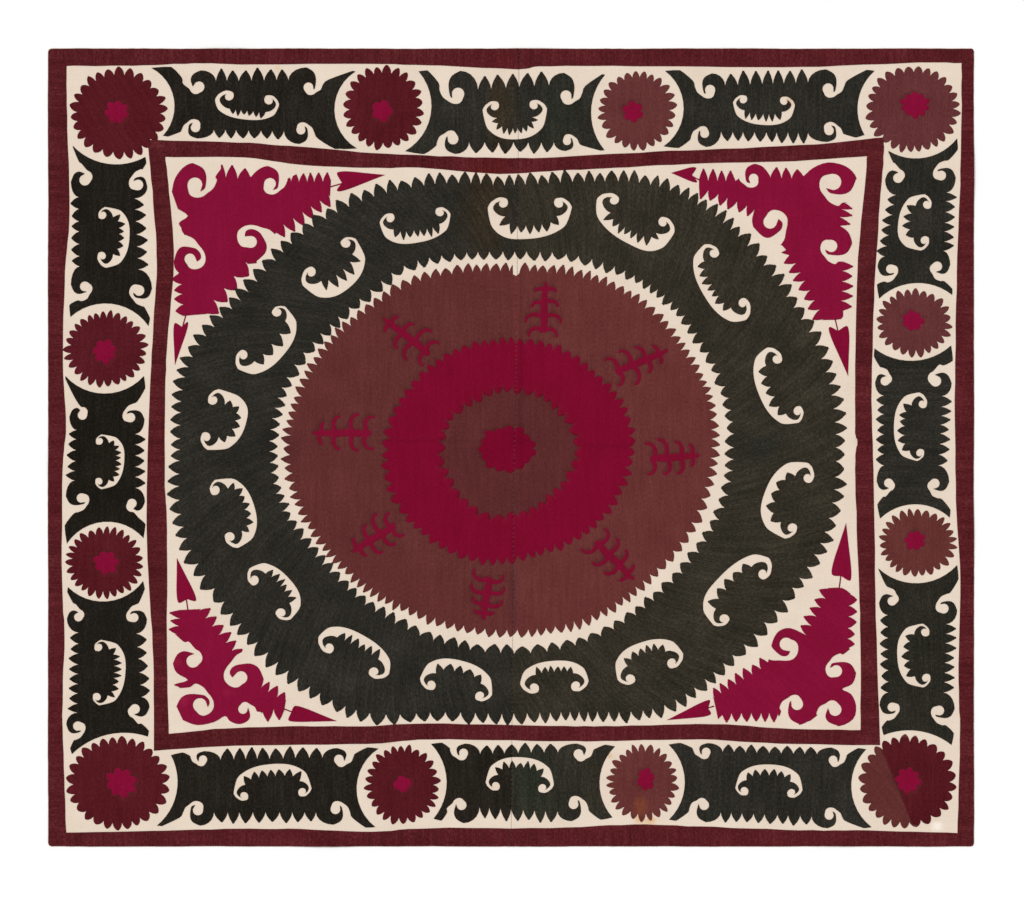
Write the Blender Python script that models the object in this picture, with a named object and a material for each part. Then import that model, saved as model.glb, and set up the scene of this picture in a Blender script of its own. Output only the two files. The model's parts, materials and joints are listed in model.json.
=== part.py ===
"""Embroidered wall hanging of two joined cotton panels, lying flat.

Places are charted in squares of SQUARE metres, right and down from the chart's corner.
A figure is worked out from its row in a table, and the fields of stitching stand
above the cotton by the height of the thread.
"""
import math
import random

import bpy
from mathutils import Vector
from mathutils.geometry import delaunay_2d_cdt

# Driving dimensions in metres
SQUARE = 0.002
COTTON_TOP = 0.0012
STITCH_TOP = 0.0022
SEAM_GAP = 0.0003

# The cloth's edges on the chart, in squares
LEFT, RIGHT = 47.5, 974.5
TOP, BOTTOM = 48.0, 847.0
MIDDLE = (511.0, 447.5)

# Sizes on the chart, in squares
CORNER_ROUND = 3.0
RING_TOOTH = 10.5
DISC_TOOTH = 6.8
ROSETTE_TOOTH = 7.5
CORE_TOOTH = 6.0
BACK_LEAST = 3.2
SPRIG_LEGS = 4
SPRIG_REACH = 13.0
OPENING = 1.1
SNAP = 0.5
SLACK = 0.6
THIN_ROUNDS = 3

# Colours of the cotton and of the threads
COLOURS = {
    "cotton": (0.86, 0.72, 0.58),
    "band": (0.094, 0.013, 0.017),
    "black": (0.022, 0.022, 0.018),
    "maroon": (0.087, 0.010, 0.014),
    "brown": (0.120, 0.029, 0.028),
    "crimson": (0.200, 0.005, 0.026),
}

# The seam between the panels: x, y
SEAM = ((519.2, TOP), (517.3, 290.0), (514.2, 450.0), (512.7, 650.0), (511.2, BOTTOM))

# Inner edge of the border band, clockwise from its top left corner: x, y
BORDER_EDGE = (
    (66.7, 66.0), (133.0, 65.8), (194.0, 63.6), (254.0, 64.4), (366.0, 64.0), (440.0, 65.6), (518.0, 69.3),
    (550.0, 66.2), (685.0, 66.5), (800.0, 67.0), (918.0, 62.7), (961.5, 63.0),
    (961.5, 116.0), (959.5, 200.0), (956.5, 288.0), (954.8, 400.0), (956.0, 500.0), (960.0, 580.0),
    (958.5, 680.0), (960.0, 740.0), (957.4, 833.0),
    (867.0, 830.3), (800.0, 830.0), (700.0, 826.5), (634.0, 824.5), (550.0, 828.0), (432.0, 828.0),
    (373.0, 831.4), (300.0, 829.0), (225.0, 829.0), (138.0, 831.4), (66.4, 832.5),
    (64.3, 779.0), (62.5, 703.0), (64.6, 638.0), (62.0, 580.0), (62.7, 469.0), (66.2, 426.0),
    (62.7, 362.0), (65.3, 271.0), (69.6, 212.0), (67.0, 116.0),
)

# Outer edge of the inner band, clockwise: x, y
BAND_OUTER = (
    (147.5, 140.0), (237.0, 142.5), (300.0, 147.0), (373.0, 153.0), (452.0, 156.6), (521.0, 158.3),
    (599.0, 154.8), (685.0, 150.5), (800.0, 145.4), (884.0, 137.5),
    (883.0, 164.0), (878.0, 228.0), (873.8, 300.0), (871.5, 400.0), (873.8, 487.0), (875.8, 617.0),
    (880.0, 745.0), (780.0, 743.6), (703.0, 739.3), (617.0, 740.8), (550.0, 741.0), (432.0, 739.3),
    (367.0, 743.6), (236.0, 745.8), (154.0, 750.7),
    (153.6, 660.0), (148.2, 573.0), (147.2, 490.0), (150.0, 400.0), (153.0, 332.0), (157.0, 265.0),
    (153.6, 202.0),
)

# Inner edge of the inner band, clockwise: x, y
BAND_INNER = (
    (165.5, 157.0), (245.0, 157.4), (300.0, 164.7), (375.0, 167.8), (418.0, 167.8), (499.0, 174.0),
    (550.0, 171.0), (616.0, 167.8), (702.0, 163.4), (780.0, 161.7), (867.0, 156.2),
    (865.0, 185.0), (859.0, 245.0), (855.5, 332.0), (855.0, 426.0), (857.0, 442.0), (855.0, 469.0),
    (858.0, 562.0), (860.5, 640.0), (860.5, 730.0),
    (780.0, 728.4), (714.0, 724.0), (617.0, 726.0), (550.0, 726.0), (427.0, 723.6), (367.0, 726.0),
    (300.0, 726.2), (225.0, 728.4), (168.8, 733.8),
    (167.0, 660.0), (167.0, 530.0), (165.0, 487.0), (165.0, 400.0), (167.5, 340.0), (174.0, 262.0),
    (170.0, 202.0),
)

# Mean radii about MIDDLE every 15 degrees from right going down:
# black ring outside, black ring inside, brown disc, crimson ring outside, crimson ring inside
RADII = (
    (330, 219, 204, 122, 66), (330, 218, 201, 118, 66), (316, 211, 197, 116, 64), (308, 206, 191, 114, 63),
    (304, 205, 190, 111, 64), (278, 204, 188, 109, 67), (271, 202, 186, 112, 67), (279, 203, 188, 117, 73),
    (309, 206, 192, 120, 72), (320, 212, 201, 122, 70), (329, 220, 210, 126, 69), (342, 234, 220, 127, 71),
    (336, 238, 225, 125, 70), (337, 233, 219, 122, 68), (311, 219, 210, 117, 66), (303, 208, 200, 113, 61),
    (292, 207, 194, 111, 58), (278, 197, 185, 108, 59), (267, 192, 180, 106, 58), (280, 197, 184, 108, 58),
    (305, 205, 191, 110, 59), (314, 213, 197, 111, 60), (318, 215, 199, 115, 62), (328, 219, 205, 120, 65),
)

# Teeth round each of those edges, their length and the side they point to
RING_EDGES = (
    (150, RING_TOOTH, 1.0), (112, DISC_TOOTH, -1.0), (135, DISC_TOOTH, 1.0),
    (69, CORE_TOOTH, 1.0), (36, CORE_TOOTH, -1.0),
)

# Centre flower: x, y, half width, half height, petals
FLOWER = (507.0, 449.0, 30.0, 24.0, 15)

# Rosettes: x, y, half width, half height, teeth, thread, then the star inside:
# x, y, half width, half height, points
ROSETTES = (
    (118.7, 113.5, 49.0, 46.0, 26, "maroon", 117.0, 112.0, 12.5, 12.0, 6),
    (383.3, 107.9, 41.0, 42.5, 24, "maroon", 382.0, 111.0, 11.5, 11.5, 5),
    (637.2, 110.5, 39.5, 40.5, 25, "brown", 633.0, 112.0, 10.5, 11.0, 6),
    (912.6, 108.8, 47.5, 44.0, 28, "brown", 915.0, 105.0, 15.5, 14.0, 10),
    (105.8, 349.0, 42.0, 38.5, 28, "maroon", 105.0, 351.5, 13.0, 12.5, 7),
    (104.6, 562.4, 39.5, 36.0, 27, "maroon", 106.0, 562.5, 13.0, 12.5, 7),
    (913.9, 322.6, 38.5, 34.5, 24, "brown", 912.6, 321.0, 11.5, 11.0, 7),
    (917.4, 543.0, 39.0, 34.5, 26, "brown", 915.0, 540.5, 11.0, 10.5, 7),
    (117.9, 783.0, 50.5, 45.5, 26, "maroon", 121.0, 782.6, 16.0, 15.5, 8),
    (402.5, 784.8, 38.0, 40.5, 26, "maroon", 402.5, 783.7, 9.0, 9.0, 4),
    (642.7, 782.6, 36.0, 38.5, 26, "brown", 646.0, 779.4, 9.0, 12.5, 6),
    (907.2, 782.0, 49.5, 47.5, 26, "brown", 908.0, 780.4, 13.0, 13.5, 8),
)

# Cream crescents on the black ring: ball x, y, other ball x, y, back x, y, ball size, width, teeth
RING_CRESCENTS = (
    (503, 203, 559, 203, 518, 239.3, 4.8, 9.5, 6),
    (614, 200, 663, 222, 637, 248, 4.8, 9.5, 6),
    (714, 253, 743, 303, 708, 290, 4.8, 9.5, 5),
    (777, 359, 798, 411, 759, 395, 4.6, 9.0, 5),
    (808, 478, 792, 528, 763, 497, 4.6, 9.0, 4),
    (763, 574, 724, 619, 712, 585, 4.8, 9.0, 5),
    (672, 663, 630, 679, 636, 644, 4.8, 9.0, 5),
    (534, 688, 576, 686, 556, 660.5, 4.8, 9.0, 5),
    (431, 685, 480, 696, 459, 660, 4.8, 9.0, 5),
    (329, 648, 374, 672, 361, 634, 4.8, 9.0, 5),
    (254, 580, 281, 613, 293, 583, 4.8, 9.0, 4),
    (215, 490, 230, 537, 254, 505, 4.8, 9.0, 4),
    (213, 400, 206, 437, 247.5, 417, 4.6, 9.0, 4),
    (277, 312, 243, 355, 286, 352, 4.8, 9.0, 4),
    (346, 243, 311, 272, 349, 288, 5.2, 9.5, 4),
    (390, 218, 440, 212, 412, 243.5, 4.6, 8.0, 5),
)

# Black border figures. Each runs along x or y.
# horns: near and far side at its start, near and far side at its end
# hollows: deepest point of the start and of the end
# volutes, in the horns' order: ball x, y, size, turn in degrees, reach, wing
# rows: teeth of the near and of the far side: x, y to x, y, count, length
# crescent: as on the ring
FIGURES = (
    dict(axis="x", horns=((151.4, 68.0), (163, 135.8), (355.5, 71.5), (357, 148.5)),
         hollows=((174, 99), (334.5, 112)),
         volutes=((199, 87, 5.5, 176, 16.5, 27), (195.5, 127.5, 4.8, 238, 11, 5),
                  (308.5, 87.5, 5, 203, 20, 3), (301, 130, 4.6, 225, 14, 22)),
         rows=((216, 81.5, 288.5, 80.5, 6, 12), (214, 129.5, 284, 131, 6, 9)),
         crescent=(229, 96, 269, 100, 246, 119.7, 5, 9.5, 5)),
    dict(axis="x", horns=((418.6, 71.5), (405, 151.2), (605, 74.8), (604.5, 150.2)),
         hollows=((431.5, 106), (591, 113)),
         volutes=((458, 94, 6.3, 214, 23, 9), (453, 139, 5.5, 206, 15, 19),
                  (566, 96, 5.6, 209, 23, 3), (567, 141, 4.2, 220, 10, 4)),
         rows=((478, 90, 549, 86, 5, 14), (469, 142, 554, 142, 6, 11)),
         crescent=(494.5, 106, 534, 105, 515, 139.5, 5.2, 10, 7)),
    dict(axis="x", horns=((665, 71), (663.5, 146.5), (874.5, 71), (864.5, 135)),
         hollows=((683.5, 105), (857.5, 105)),
         volutes=((710, 90, 5.2, 222, 16.5, 15), (704.5, 133.5, 4.6, 212, 13.5, 15),
                  (828, 89, 5.6, 211, 19.5, 8), (829, 130.5, 4.8, 246, 11.5, 9)),
         rows=((725, 86, 808, 83, 7, 13.5), (721, 131.5, 808, 132.5, 8, 10)),
         crescent=(743, 99.5, 784, 101, 766, 125.2, 4.8, 9, 5)),
    dict(axis="y", horns=((73, 146), (145.5, 157), (70.5, 317), (148.5, 326)),
         hollows=((116, 164.5), (103, 303.5)),
         volutes=((85, 180, 5.6, 180, 14, 1), (138, 185, 5.4, 228, 9.5, 6),
                  (85, 286.5, 5, 200, 14, 12), (139, 290.5, 5.4, 250, 13, 8)),
         rows=((79, 197, 80, 266.5, 6, 8), (134, 198.5, 138, 269.5, 6, 10.5)),
         crescent=(102.5, 215, 102, 256, 129.8, 233, 4.6, 9.5, 5)),
    dict(axis="y", horns=((65.5, 376), (144, 376), (67, 543.5), (143.7, 538)),
         hollows=((107.5, 393.5), (104, 521.8)),
         volutes=((82.5, 415, 4.8, 156, 13, 3), (130.5, 417.5, 4.8, 225, 14, 12),
                  (81.5, 498, 4.8, 222, 15.5, 18), (132, 503.5, 4.8, 165, 13, 14)),
         rows=((77, 430, 75, 480.5, 5, 8.5), (135, 434, 135, 488, 5, 9.5)),
         crescent=(99.5, 441, 99, 481.5, 124.6, 456, 4.4, 9.5, 5)),
    dict(axis="y", horns=((68, 587), (143.2, 581), (72, 754), (148, 736.5)),
         hollows=((103.7, 601.5), (113, 733.5)),
         volutes=((78.5, 617, 4.4, 180, 11.5, 5), (134, 617.5, 4.6, 230, 13, 8),
                  (78, 726, 4.8, 215, 11.5, 6), (135, 709, 5, 188, 14.5, 6)),
         rows=((79, 632.5, 78, 712.5, 8, 9), (136, 633.5, 141, 697, 5, 10)),
         crescent=(98.5, 647, 97, 697, 125.8, 668, 4.8, 8.5, 6)),
    dict(axis="y", horns=((888.5, 151), (957, 138.5), (879, 298.6), (952, 295)),
         hollows=((917.8, 158.5), (917.8, 283)),
         volutes=((898, 178, 5, 182, 13, 1), (941, 175.5, 5, 221, 14.5, 11),
                  (890.5, 269, 4.6, 222, 13, 14), (937, 266.5, 5, 196, 13, 6)),
         rows=((896, 195, 885, 256.5, 6, 8.5), (946, 192.5, 943, 251, 6, 10)),
         crescent=(927, 204.5, 924.6, 240.5, 897.6, 227, 4.8, 9.5, 4)),
    dict(axis="y", horns=((874.5, 348.5), (951, 345.5), (880, 518.5), (949.6, 517.6)),
         hollows=((908, 360.8), (916, 504.2)),
         volutes=((885, 381, 4.6, 196, 10, 8), (935.5, 381, 5.6, 187, 16, 15),
                  (888.5, 483, 4.6, 184, 12, 14), (934.5, 483.5, 5, 192, 14.5, 8)),
         rows=((884, 395.5, 884, 465.5, 7, 7.5), (941.5, 396, 938, 465.5, 7, 10)),
         crescent=(922.5, 404, 920, 453, 893.8, 424, 4.6, 9, 5)),
    dict(axis="y", horns=((878.5, 568.5), (957, 565), (883.5, 735), (951.5, 745)),
         hollows=((918.8, 583.2), (914.4, 730.4)),
         volutes=((892, 601, 4.6, 192, 13, 1), (943.5, 608.5, 5, 217, 13.5, 14),
                  (892, 707, 4.6, 225, 12.5, 8), (939, 710.5, 5, 222, 15.5, 12)),
         rows=((888, 615, 888.5, 692.5, 7, 8), (945.5, 624, 943, 692.5, 7, 10.5)),
         crescent=(925, 632, 926, 678, 896.8, 654, 4.8, 8.5, 4)),
    dict(axis="x", horns=((171, 755), (157, 825.5), (378.5, 748.5), (375.5, 827)),
         hollows=((177.5, 777), (356.8, 784)),
         volutes=((203, 759.5, 4.3, 204, 8.5, 12), (198, 810, 5.2, 242, 15.5, 5),
                  (339, 759.5, 5, 196, 11.5, 11), (335.5, 809, 5, 217, 15.5, 10)),
         rows=((220.5, 760, 322.5, 758, 8, 11.5), (214, 812, 316, 812, 8, 10.5)),
         crescent=(244, 796, 302.5, 792, 273, 763.8, 4.8, 8.5, 5)),
    dict(axis="x", horns=((431, 743.8), (433.5, 818.6), (615, 746.4), (612.5, 817.3)),
         hollows=((446.5, 778), (599.5, 781)),
         volutes=((463.5, 753, 4.6, 210, 9.5, 11), (461.5, 805, 5, 190, 18, 8),
                  (578.5, 754, 5, 194, 10.5, 10), (573.5, 804, 5, 222, 17, 12)),
         rows=((480, 754, 558, 752.5, 6, 9.5), (479.5, 807, 557.5, 811, 7, 11.5)),
         crescent=(495.5, 786, 542.5, 788, 520, 757, 5, 9, 5)),
    dict(axis="x", horns=((668.5, 744.5), (669, 819.5), (866, 749.2), (871.5, 827)),
         hollows=((684.4, 776), (851.8, 777)),
         volutes=((706, 752, 4.5, 210, 9, 12), (704, 805, 5, 192, 17, 7),
                  (833, 760, 4.5, 203, 12.5, 8), (829, 815, 4.6, 228, 13, 8)),
         rows=((722.5, 752, 817, 754.5, 8, 7.5), (720.5, 812, 811.5, 816, 8, 9.5)),
         crescent=(744, 791, 791.5, 793, 770.5, 764.3, 4.8, 8.5, 6)),
)

# Crimson corner sprays, clockwise.
# edge: x, y, teeth from the point before, length of those teeth
# curls: ball x, y, size, turn, reach, wing x, y, along x, y, outward x, y, looseness
SPRAYS = (
    dict(edge=((172, 192, 0, 0), (175, 179, 0, 0), (183, 168, 0, 0), (193, 163, 0, 0), (206, 165, 0, 0),
               (219, 173, 0, 0), (251, 177, 3, 9), (258, 170, 0, 0), (268, 166, 0, 0), (284, 169, 0, 0),
               (298, 180, 0, 0), (331, 180, 4, 7), (330, 197, 0, 0), (276, 233, 6, 9), (269, 252, 0, 0),
               (260, 262, 0, 0), (248, 264, 0, 0), (206, 314, 4, 9), (182, 316, 0, 0), (179, 273, 4, 7),
               (175, 268, 0, 0), (174, 260, 0, 0), (176, 248, 0, 0), (182, 231, 0, 0), (179, 223, 0, 0),
               (188, 216, 0, 0), (178, 209, 0, 0)),
         curls=((195, 185, 7.5, 230, 22, 219, 172, -1, 0, 0, -1, 1.0),
                (270, 184, 6, 243, 18, 298, 176, -1, 0, 0, -1, 1.0),
                (190, 259, 5.5, 290, 16, 182, 231, 0, 1, -1, 0, 1.5),
                (251, 242, 6, 296, 20, 277, 233, -0.93, 0.37, 0.37, 0.93, 1.5))),
    dict(edge=((699, 178, 0, 0), (735, 179, 4, 9), (738, 175, 0, 0), (743, 167, 0, 0), (753, 163.8, 0, 0),
               (763, 167, 0, 0), (770, 176, 0, 0), (804, 176, 3, 8), (813, 168, 0, 0), (828, 162.5, 0, 0),
               (845, 166, 0, 0), (855, 175, 0, 0), (857, 185, 0, 0), (854, 195, 0, 0), (846, 203, 0, 0),
               (840, 226, 3, 9), (848, 232, 0, 0), (852, 243, 0, 0), (850, 254, 0, 0), (845, 262, 0, 0),
               (843, 311, 5, 8), (841, 319, 0, 0), (822, 320, 0, 0), (789, 255, 7, 8), (780, 252, 0, 0),
               (768, 241, 0, 0), (757, 234, 0, 0), (752, 222, 0, 0), (754, 211, 0, 0), (699, 189, 6, 8)),
         curls=((753.5, 178.5, 4.8, 235, 15, 735, 181, 1, 0, 0, -1, 1.15),
                (833, 182, 8.2, 228, 23, 852, 203, 0, -1, 1, 0, 1.0),
                (831, 246, 6.2, 238, 21, 846, 262, 0, -1, 1, 0, 1.0),
                (770, 222, 6.8, 262, 17, 786, 250, -0.46, -0.89, -0.89, 0.46, 1.35))),
    dict(edge=((176, 705, 0, 0), (176, 697, 0, 0), (179, 689, 0, 0), (175, 685, 0, 0), (188, 680, 0, 0),
               (177, 673, 0, 0), (173, 663, 0, 0), (173, 648, 0, 0), (175, 633, 0, 0), (179, 611, 2, 7),
               (201, 609, 0, 0), (240, 657, 6, 8), (252, 660, 0, 0), (262, 668, 0, 0), (264, 677, 0, 0),
               (262, 686, 0, 0), (286, 700, 3, 7), (284, 712, 0, 0), (262, 712, 2, 9), (256, 719, 0, 0),
               (240, 724, 0, 0), (230, 721, 0, 0), (225, 716, 0, 0), (214, 722, 0, 0), (197, 725, 0, 0),
               (183, 720, 0, 0)),
         curls=((198, 705, 7, 284, 22, 179, 689, 0, 1, -1, 0, 1.3),
                (193, 661, 6.6, 190, 20, 175, 634, 0, 1, -1, 0, 1.0),
                (241, 677.5, 6.4, 270, 23, 243, 657, 0, 1, 1, 0, 1.45),
                (243, 709, 4.8, 196, 15, 261, 712, -1, 0, 0, 1, 1.0))),
    dict(edge=((713, 696, 0, 0), (768, 662, 7, 7), (770, 652, 0, 0), (773, 640, 0, 0), (779, 631, 0, 0),
               (790, 628, 0, 0), (804, 634, 0, 0), (828, 588, 5, 8), (842, 588, 0, 0), (851, 594, 0, 0),
               (849, 648, 5, 6), (855, 660, 0, 0), (856, 673, 0, 0), (852, 684, 0, 0), (842, 689, 0, 0),
               (851, 694, 0, 0), (856, 706, 0, 0), (853, 719, 0, 0), (839, 726, 0, 0), (824, 723, 0, 0),
               (812, 720, 0, 0), (799, 725, 0, 0), (786, 722, 0, 0), (778, 715, 0, 0), (722, 715, 6, 7),
               (718, 719, 0, 0)),
         curls=((786, 644, 6.5, 263, 15, 769, 660, 0.8, -0.6, -0.6, -0.8, 1.35),
                (836, 671, 6, 243, 20, 850, 649, 0, 1, 1, 0, 1.0),
                (835, 709.5, 6.4, 192, 16, 811, 720, 1, 0, 0, 1, 1.0),
                (797, 704, 6, 207, 20, 778, 719, 1, 0, 0, 1, 1.0))),
)

# Crimson buds at the sprays' ends: tip x, y, lobe x, y, other lobe x, y, notch x, y
BUDS = (
    (385, 175, 337, 173, 337, 191, 342, 183), (175, 365, 175, 323, 188, 322, 182, 327),
    (671, 173, 696, 168, 697, 182, 692, 175), (848, 376, 829, 327, 847, 326, 838, 331),
    (177, 558, 179, 603, 196, 601, 187, 599), (337, 721, 294, 706, 288, 720, 291, 713),
    (846, 523, 832, 575, 850, 581, 841, 576), (667, 720, 710, 700, 711, 714, 708, 708),
)

# Crimson sprigs on the brown disc: x, y to x, y
SPRIGS = (
    (546, 282, 543, 338), (668, 350, 610, 375), (700, 455, 645, 460), (634, 580, 592, 537),
    (483, 620, 490, 573), (352, 552, 400, 522), (312, 433, 378, 433), (383, 318, 435, 358),
)


def clear_scene():
    """Remove every object of the start file."""
    for thing in list(bpy.data.objects):
        bpy.data.objects.remove(thing, do_unlink=True)


def add(p, q):
    return (p[0] + q[0], p[1] + q[1])


def sub(p, q):
    return (p[0] - q[0], p[1] - q[1])


def mul(p, k):
    return (p[0] * k, p[1] * k)


def mix(p, q, t):
    return (p[0] + (q[0] - p[0]) * t, p[1] + (q[1] - p[1]) * t)


def unit(p):
    size = math.hypot(p[0], p[1])
    return (p[0] / size, p[1] / size)


def across(p):
    """The direction to the left of p, as the chart is seen."""
    return (p[1], -p[0])


def in_frame(frame, a, b):
    """The point a along and b outward from a frame's centre."""
    centre, along, outward = frame
    return (centre[0] + along[0] * a + outward[0] * b, centre[1] + along[1] * a + outward[1] * b)


def round_frame(frame, degrees, radius):
    """The point at an angle round a frame's centre."""
    angle = math.radians(degrees)
    return in_frame(frame, radius * math.cos(angle), radius * math.sin(angle))


def smooth_loop(points, parts):
    """A closed Catmull-Rom curve with so many parts to a span."""
    out = []
    count = len(points)
    for i in range(count):
        a, b, c, d = (points[(i + k) % count] for k in (-1, 0, 1, 2))
        for step in range(parts):
            t = step / parts
            out.append(tuple(
                b[j] + 0.5 * t * (c[j] - a[j] + t * (2 * a[j] - 5 * b[j] + 4 * c[j] - d[j]
                                                     + t * (3 * (b[j] - c[j]) + d[j] - a[j])))
                for j in (0, 1)))
    return out


def walk(points, closed):
    """Distances along a line of points."""
    far = [0.0]
    count = len(points)
    for i in range(count if closed else count - 1):
        far.append(far[-1] + math.dist(points[i], points[(i + 1) % count]))
    return far


def point_at(points, far, place):
    """The point at a distance along a line of points."""
    span = 0
    while span < len(far) - 2 and far[span + 1] <= place:
        span += 1
    share = (place - far[span]) / (far[span + 1] - far[span])
    return mix(points[span % len(points)], points[(span + 1) % len(points)], share)


def tooth(start, end, outward, length, lean=0.5):
    """A tooth's foot and tip, its tip at the share `lean` from start to end."""
    return [start, add(mix(start, end, lean), mul(outward, length))]


def toothed_loop(loop, count, length, side, seed):
    """A closed line with uneven teeth all round."""
    dice = random.Random(seed)
    far = walk(loop, True)
    steps = [1 + 0.16 * dice.uniform(-1, 1) for _ in range(count)]
    scale = far[-1] / sum(steps)
    feet = [0.0]
    for step in steps:
        feet.append(feet[-1] + step * scale)
    out = []
    for first, last in zip(feet, feet[1:]):
        start = point_at(loop, far, first % far[-1])
        end = point_at(loop, far, last % far[-1])
        outward = mul(across(unit(sub(end, start))), side)
        out += tooth(start, end, outward, length * dice.uniform(0.82, 1.18), dice.uniform(0.4, 0.6))
    return out


def toothed_line(start, end, count, length, outward, seed):
    """A row of uneven teeth from start, up to but without end."""
    dice = random.Random(seed)
    steps = [1 + 0.12 * dice.uniform(-1, 1) for _ in range(count)]
    done = 0.0
    points = []
    for step in steps:
        first = mix(start, end, done / sum(steps))
        done += step
        last = mix(start, end, done / sum(steps))
        points += tooth(first, last, outward, length * dice.uniform(0.88, 1.12), dice.uniform(0.42, 0.58))
    return points


def curl(frame, size, turn, loose=1.0):
    """A stroke that curls into a ball: its outer edge, the ball, and its inner edge from the hook's tip."""
    step = 42
    outer = []
    end = turn + 100
    for angle in range(168, int(end - 8), step):
        past = angle - turn
        if past < 0:
            radius = max(1.9, 3.0 - 0.0227 * (angle - 168))
        elif past < 60:
            radius = 1.9 - 0.006 * past
        else:
            radius = 1.55 - 0.011 * (past - 60)
        ease = min(1.0, (end - angle) / 100)
        outer.append(round_frame(frame, angle, size * radius * (1 + (loose - 1) * ease)))
    ball = [round_frame(frame, end + 62 * k, size * (1.08 if k == 0 else 1.0)) for k in range(4)]
    inner = [round_frame(frame, turn, size * (1.12 + 0.5 * (loose - 1)))]
    for angle in range(int(turn - step), 180, -step):
        away = min(1.0, (turn - angle) / 35)
        radius = (1.12 + 0.3 * away) * (1 + (loose - 1) * min(1.0, 0.5 + away))
        inner.append(round_frame(frame, angle, size * radius))
    return outer, ball, inner


def crescent(ax, ay, bx, by, back_x, back_y, size, width, teeth, seed):
    """A cream C with two curled ends, a plain back and a toothed hollow."""
    first, second = (ax, ay), (bx, by)
    along = unit(sub(second, first))
    side = across(along)
    reach = sub((back_x, back_y), first)
    depth = reach[0] * side[0] + reach[1] * side[1]
    if depth < 0:
        side, depth = mul(side, -1), -depth
    middle = reach[0] * along[0] + reach[1] * along[1]
    span = math.dist(first, second)
    frame = (first, along, side)
    mirror = (second, mul(along, -1), side)
    outer_a, ball_a, inner_a = curl(frame, size, 262)
    outer_b, ball_b, inner_b = curl(mirror, size, 262)
    far, low = 2.93 * size, 0.62 * size
    back = []
    for angle in (18, 45, 70, 90, 110, 135, 162):
        run = middle + far if angle <= 90 else span + far - middle
        back.append(in_frame(frame, middle - run * math.cos(math.radians(angle)),
                             low + (depth - low) * math.sin(math.radians(angle))))
    hollow = []
    foot, deep = 1.95 * size, depth - width
    for i in range(25):
        angle = math.pi * (1 - i / 24)
        run = (middle if angle <= math.pi / 2 else span - middle) + 1.2 * size
        hollow.append((middle - run * math.cos(angle), foot + (deep - foot) * max(math.sin(angle), 0.0) ** 0.8))
    distances = walk(hollow, False)
    dice = random.Random(seed)
    feet = [point_at(hollow, distances, distances[-1] * (0.08 + 0.84 * i / teeth)) for i in range(teeth + 1)]
    row = []
    for start, end in zip(feet, feet[1:]):
        outward = across(unit(sub(end, start)))
        if outward[1] < 0:
            outward = mul(outward, -1)
        row += tooth(start, end, outward, (width - BACK_LEAST) * dice.uniform(0.85, 1.0), dice.uniform(0.4, 0.6))
    row.append(feet[-1])
    hook = ((-1.6 * size, 0.7 * size), (-1.25 * size, 1.7 * size))
    outline = ball_a[::-1] + outer_a[::-1] + back + outer_b + ball_b + inner_b
    outline += [in_frame(mirror, a, b) for a, b in hook]
    outline += [in_frame(frame, a, b) for a, b in row]
    outline += [in_frame(frame, a, b) for a, b in hook[::-1]]
    return outline + inner_a[::-1]


def inlet(frame, size, turn, reach, wing, loose=1.0):
    """A cream comma that leaves a curled hook on a figure's edge."""
    outer, ball, inner = curl(frame, size, turn, loose)
    a = sum((wing[k] - frame[0][k]) * frame[1][k] for k in (0, 1))
    b = sum((wing[k] - frame[0][k]) * frame[2][k] for k in (0, 1))
    neck = 2.5 * size * loose
    waist = in_frame(frame, -neck + 0.25 * (a + neck), 0.35 * size + 0.42 * (b - 0.35 * size))
    beyond = 5.0
    outline = [in_frame(frame, a, b + beyond), wing, waist] + outer + ball + inner
    outline.append(in_frame(frame, -1.5 * size * loose, 0.42 * reach))
    outline.append(in_frame(frame, -1.0 * size * loose, 0.78 * reach))
    outline.append(in_frame(frame, 0.35 * size, reach))
    outline.append(in_frame(frame, 0.35 * size, reach + beyond))
    return outline


def arc_through(p, q, r, parts):
    """Points inside the arc of a circle from p through q to r."""
    ax, ay = sub(p, q)
    cx, cy = sub(r, q)
    spread = 2 * (ax * cy - ay * cx)
    x = (cy * (ax * ax + ay * ay) - ay * (cx * cx + cy * cy)) / spread
    y = (ax * (cx * cx + cy * cy) - cx * (ax * ax + ay * ay)) / spread
    centre = add(q, (x, y))
    radius = math.hypot(x, y)
    bearings = [math.atan2(k[1] - centre[1], k[0] - centre[0]) for k in (p, q, r)]
    turns = [(b - a + math.pi) % math.tau - math.pi for a, b in zip(bearings, bearings[1:])]
    points = []
    for i in range(1, parts):
        angle = bearings[0] + sum(turns) * i / parts
        points.append(add(centre, (radius * math.cos(angle), radius * math.sin(angle))))
    return points


def figure_side(row, near, far, lane, outward, frames, wings, seed):
    """A figure's long edge from one horn to the other."""
    def end(which):
        size, reach, wing = row["volutes"][which][2], row["volutes"][which][4], row["volutes"][which][5]
        points = [row["horns"][which]]
        if wing > 5:
            half = mix(row["horns"][which], wings[which], 0.5)
            points.append(add(half, mul(outward, 0.05 * wing)))
        points.append(wings[which])
        points.append(in_frame(frames[which], 0.35 * size, reach))
        points.append(in_frame(frames[which], 1.6 * size, 0.86 * reach))
        return points
    x0, y0, x1, y1, count, length = lane
    teeth = toothed_line((x0, y0), (x1, y1), count, length, outward, seed)
    return end(near) + teeth + [(x1, y1)] + end(far)[::-1]


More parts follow.
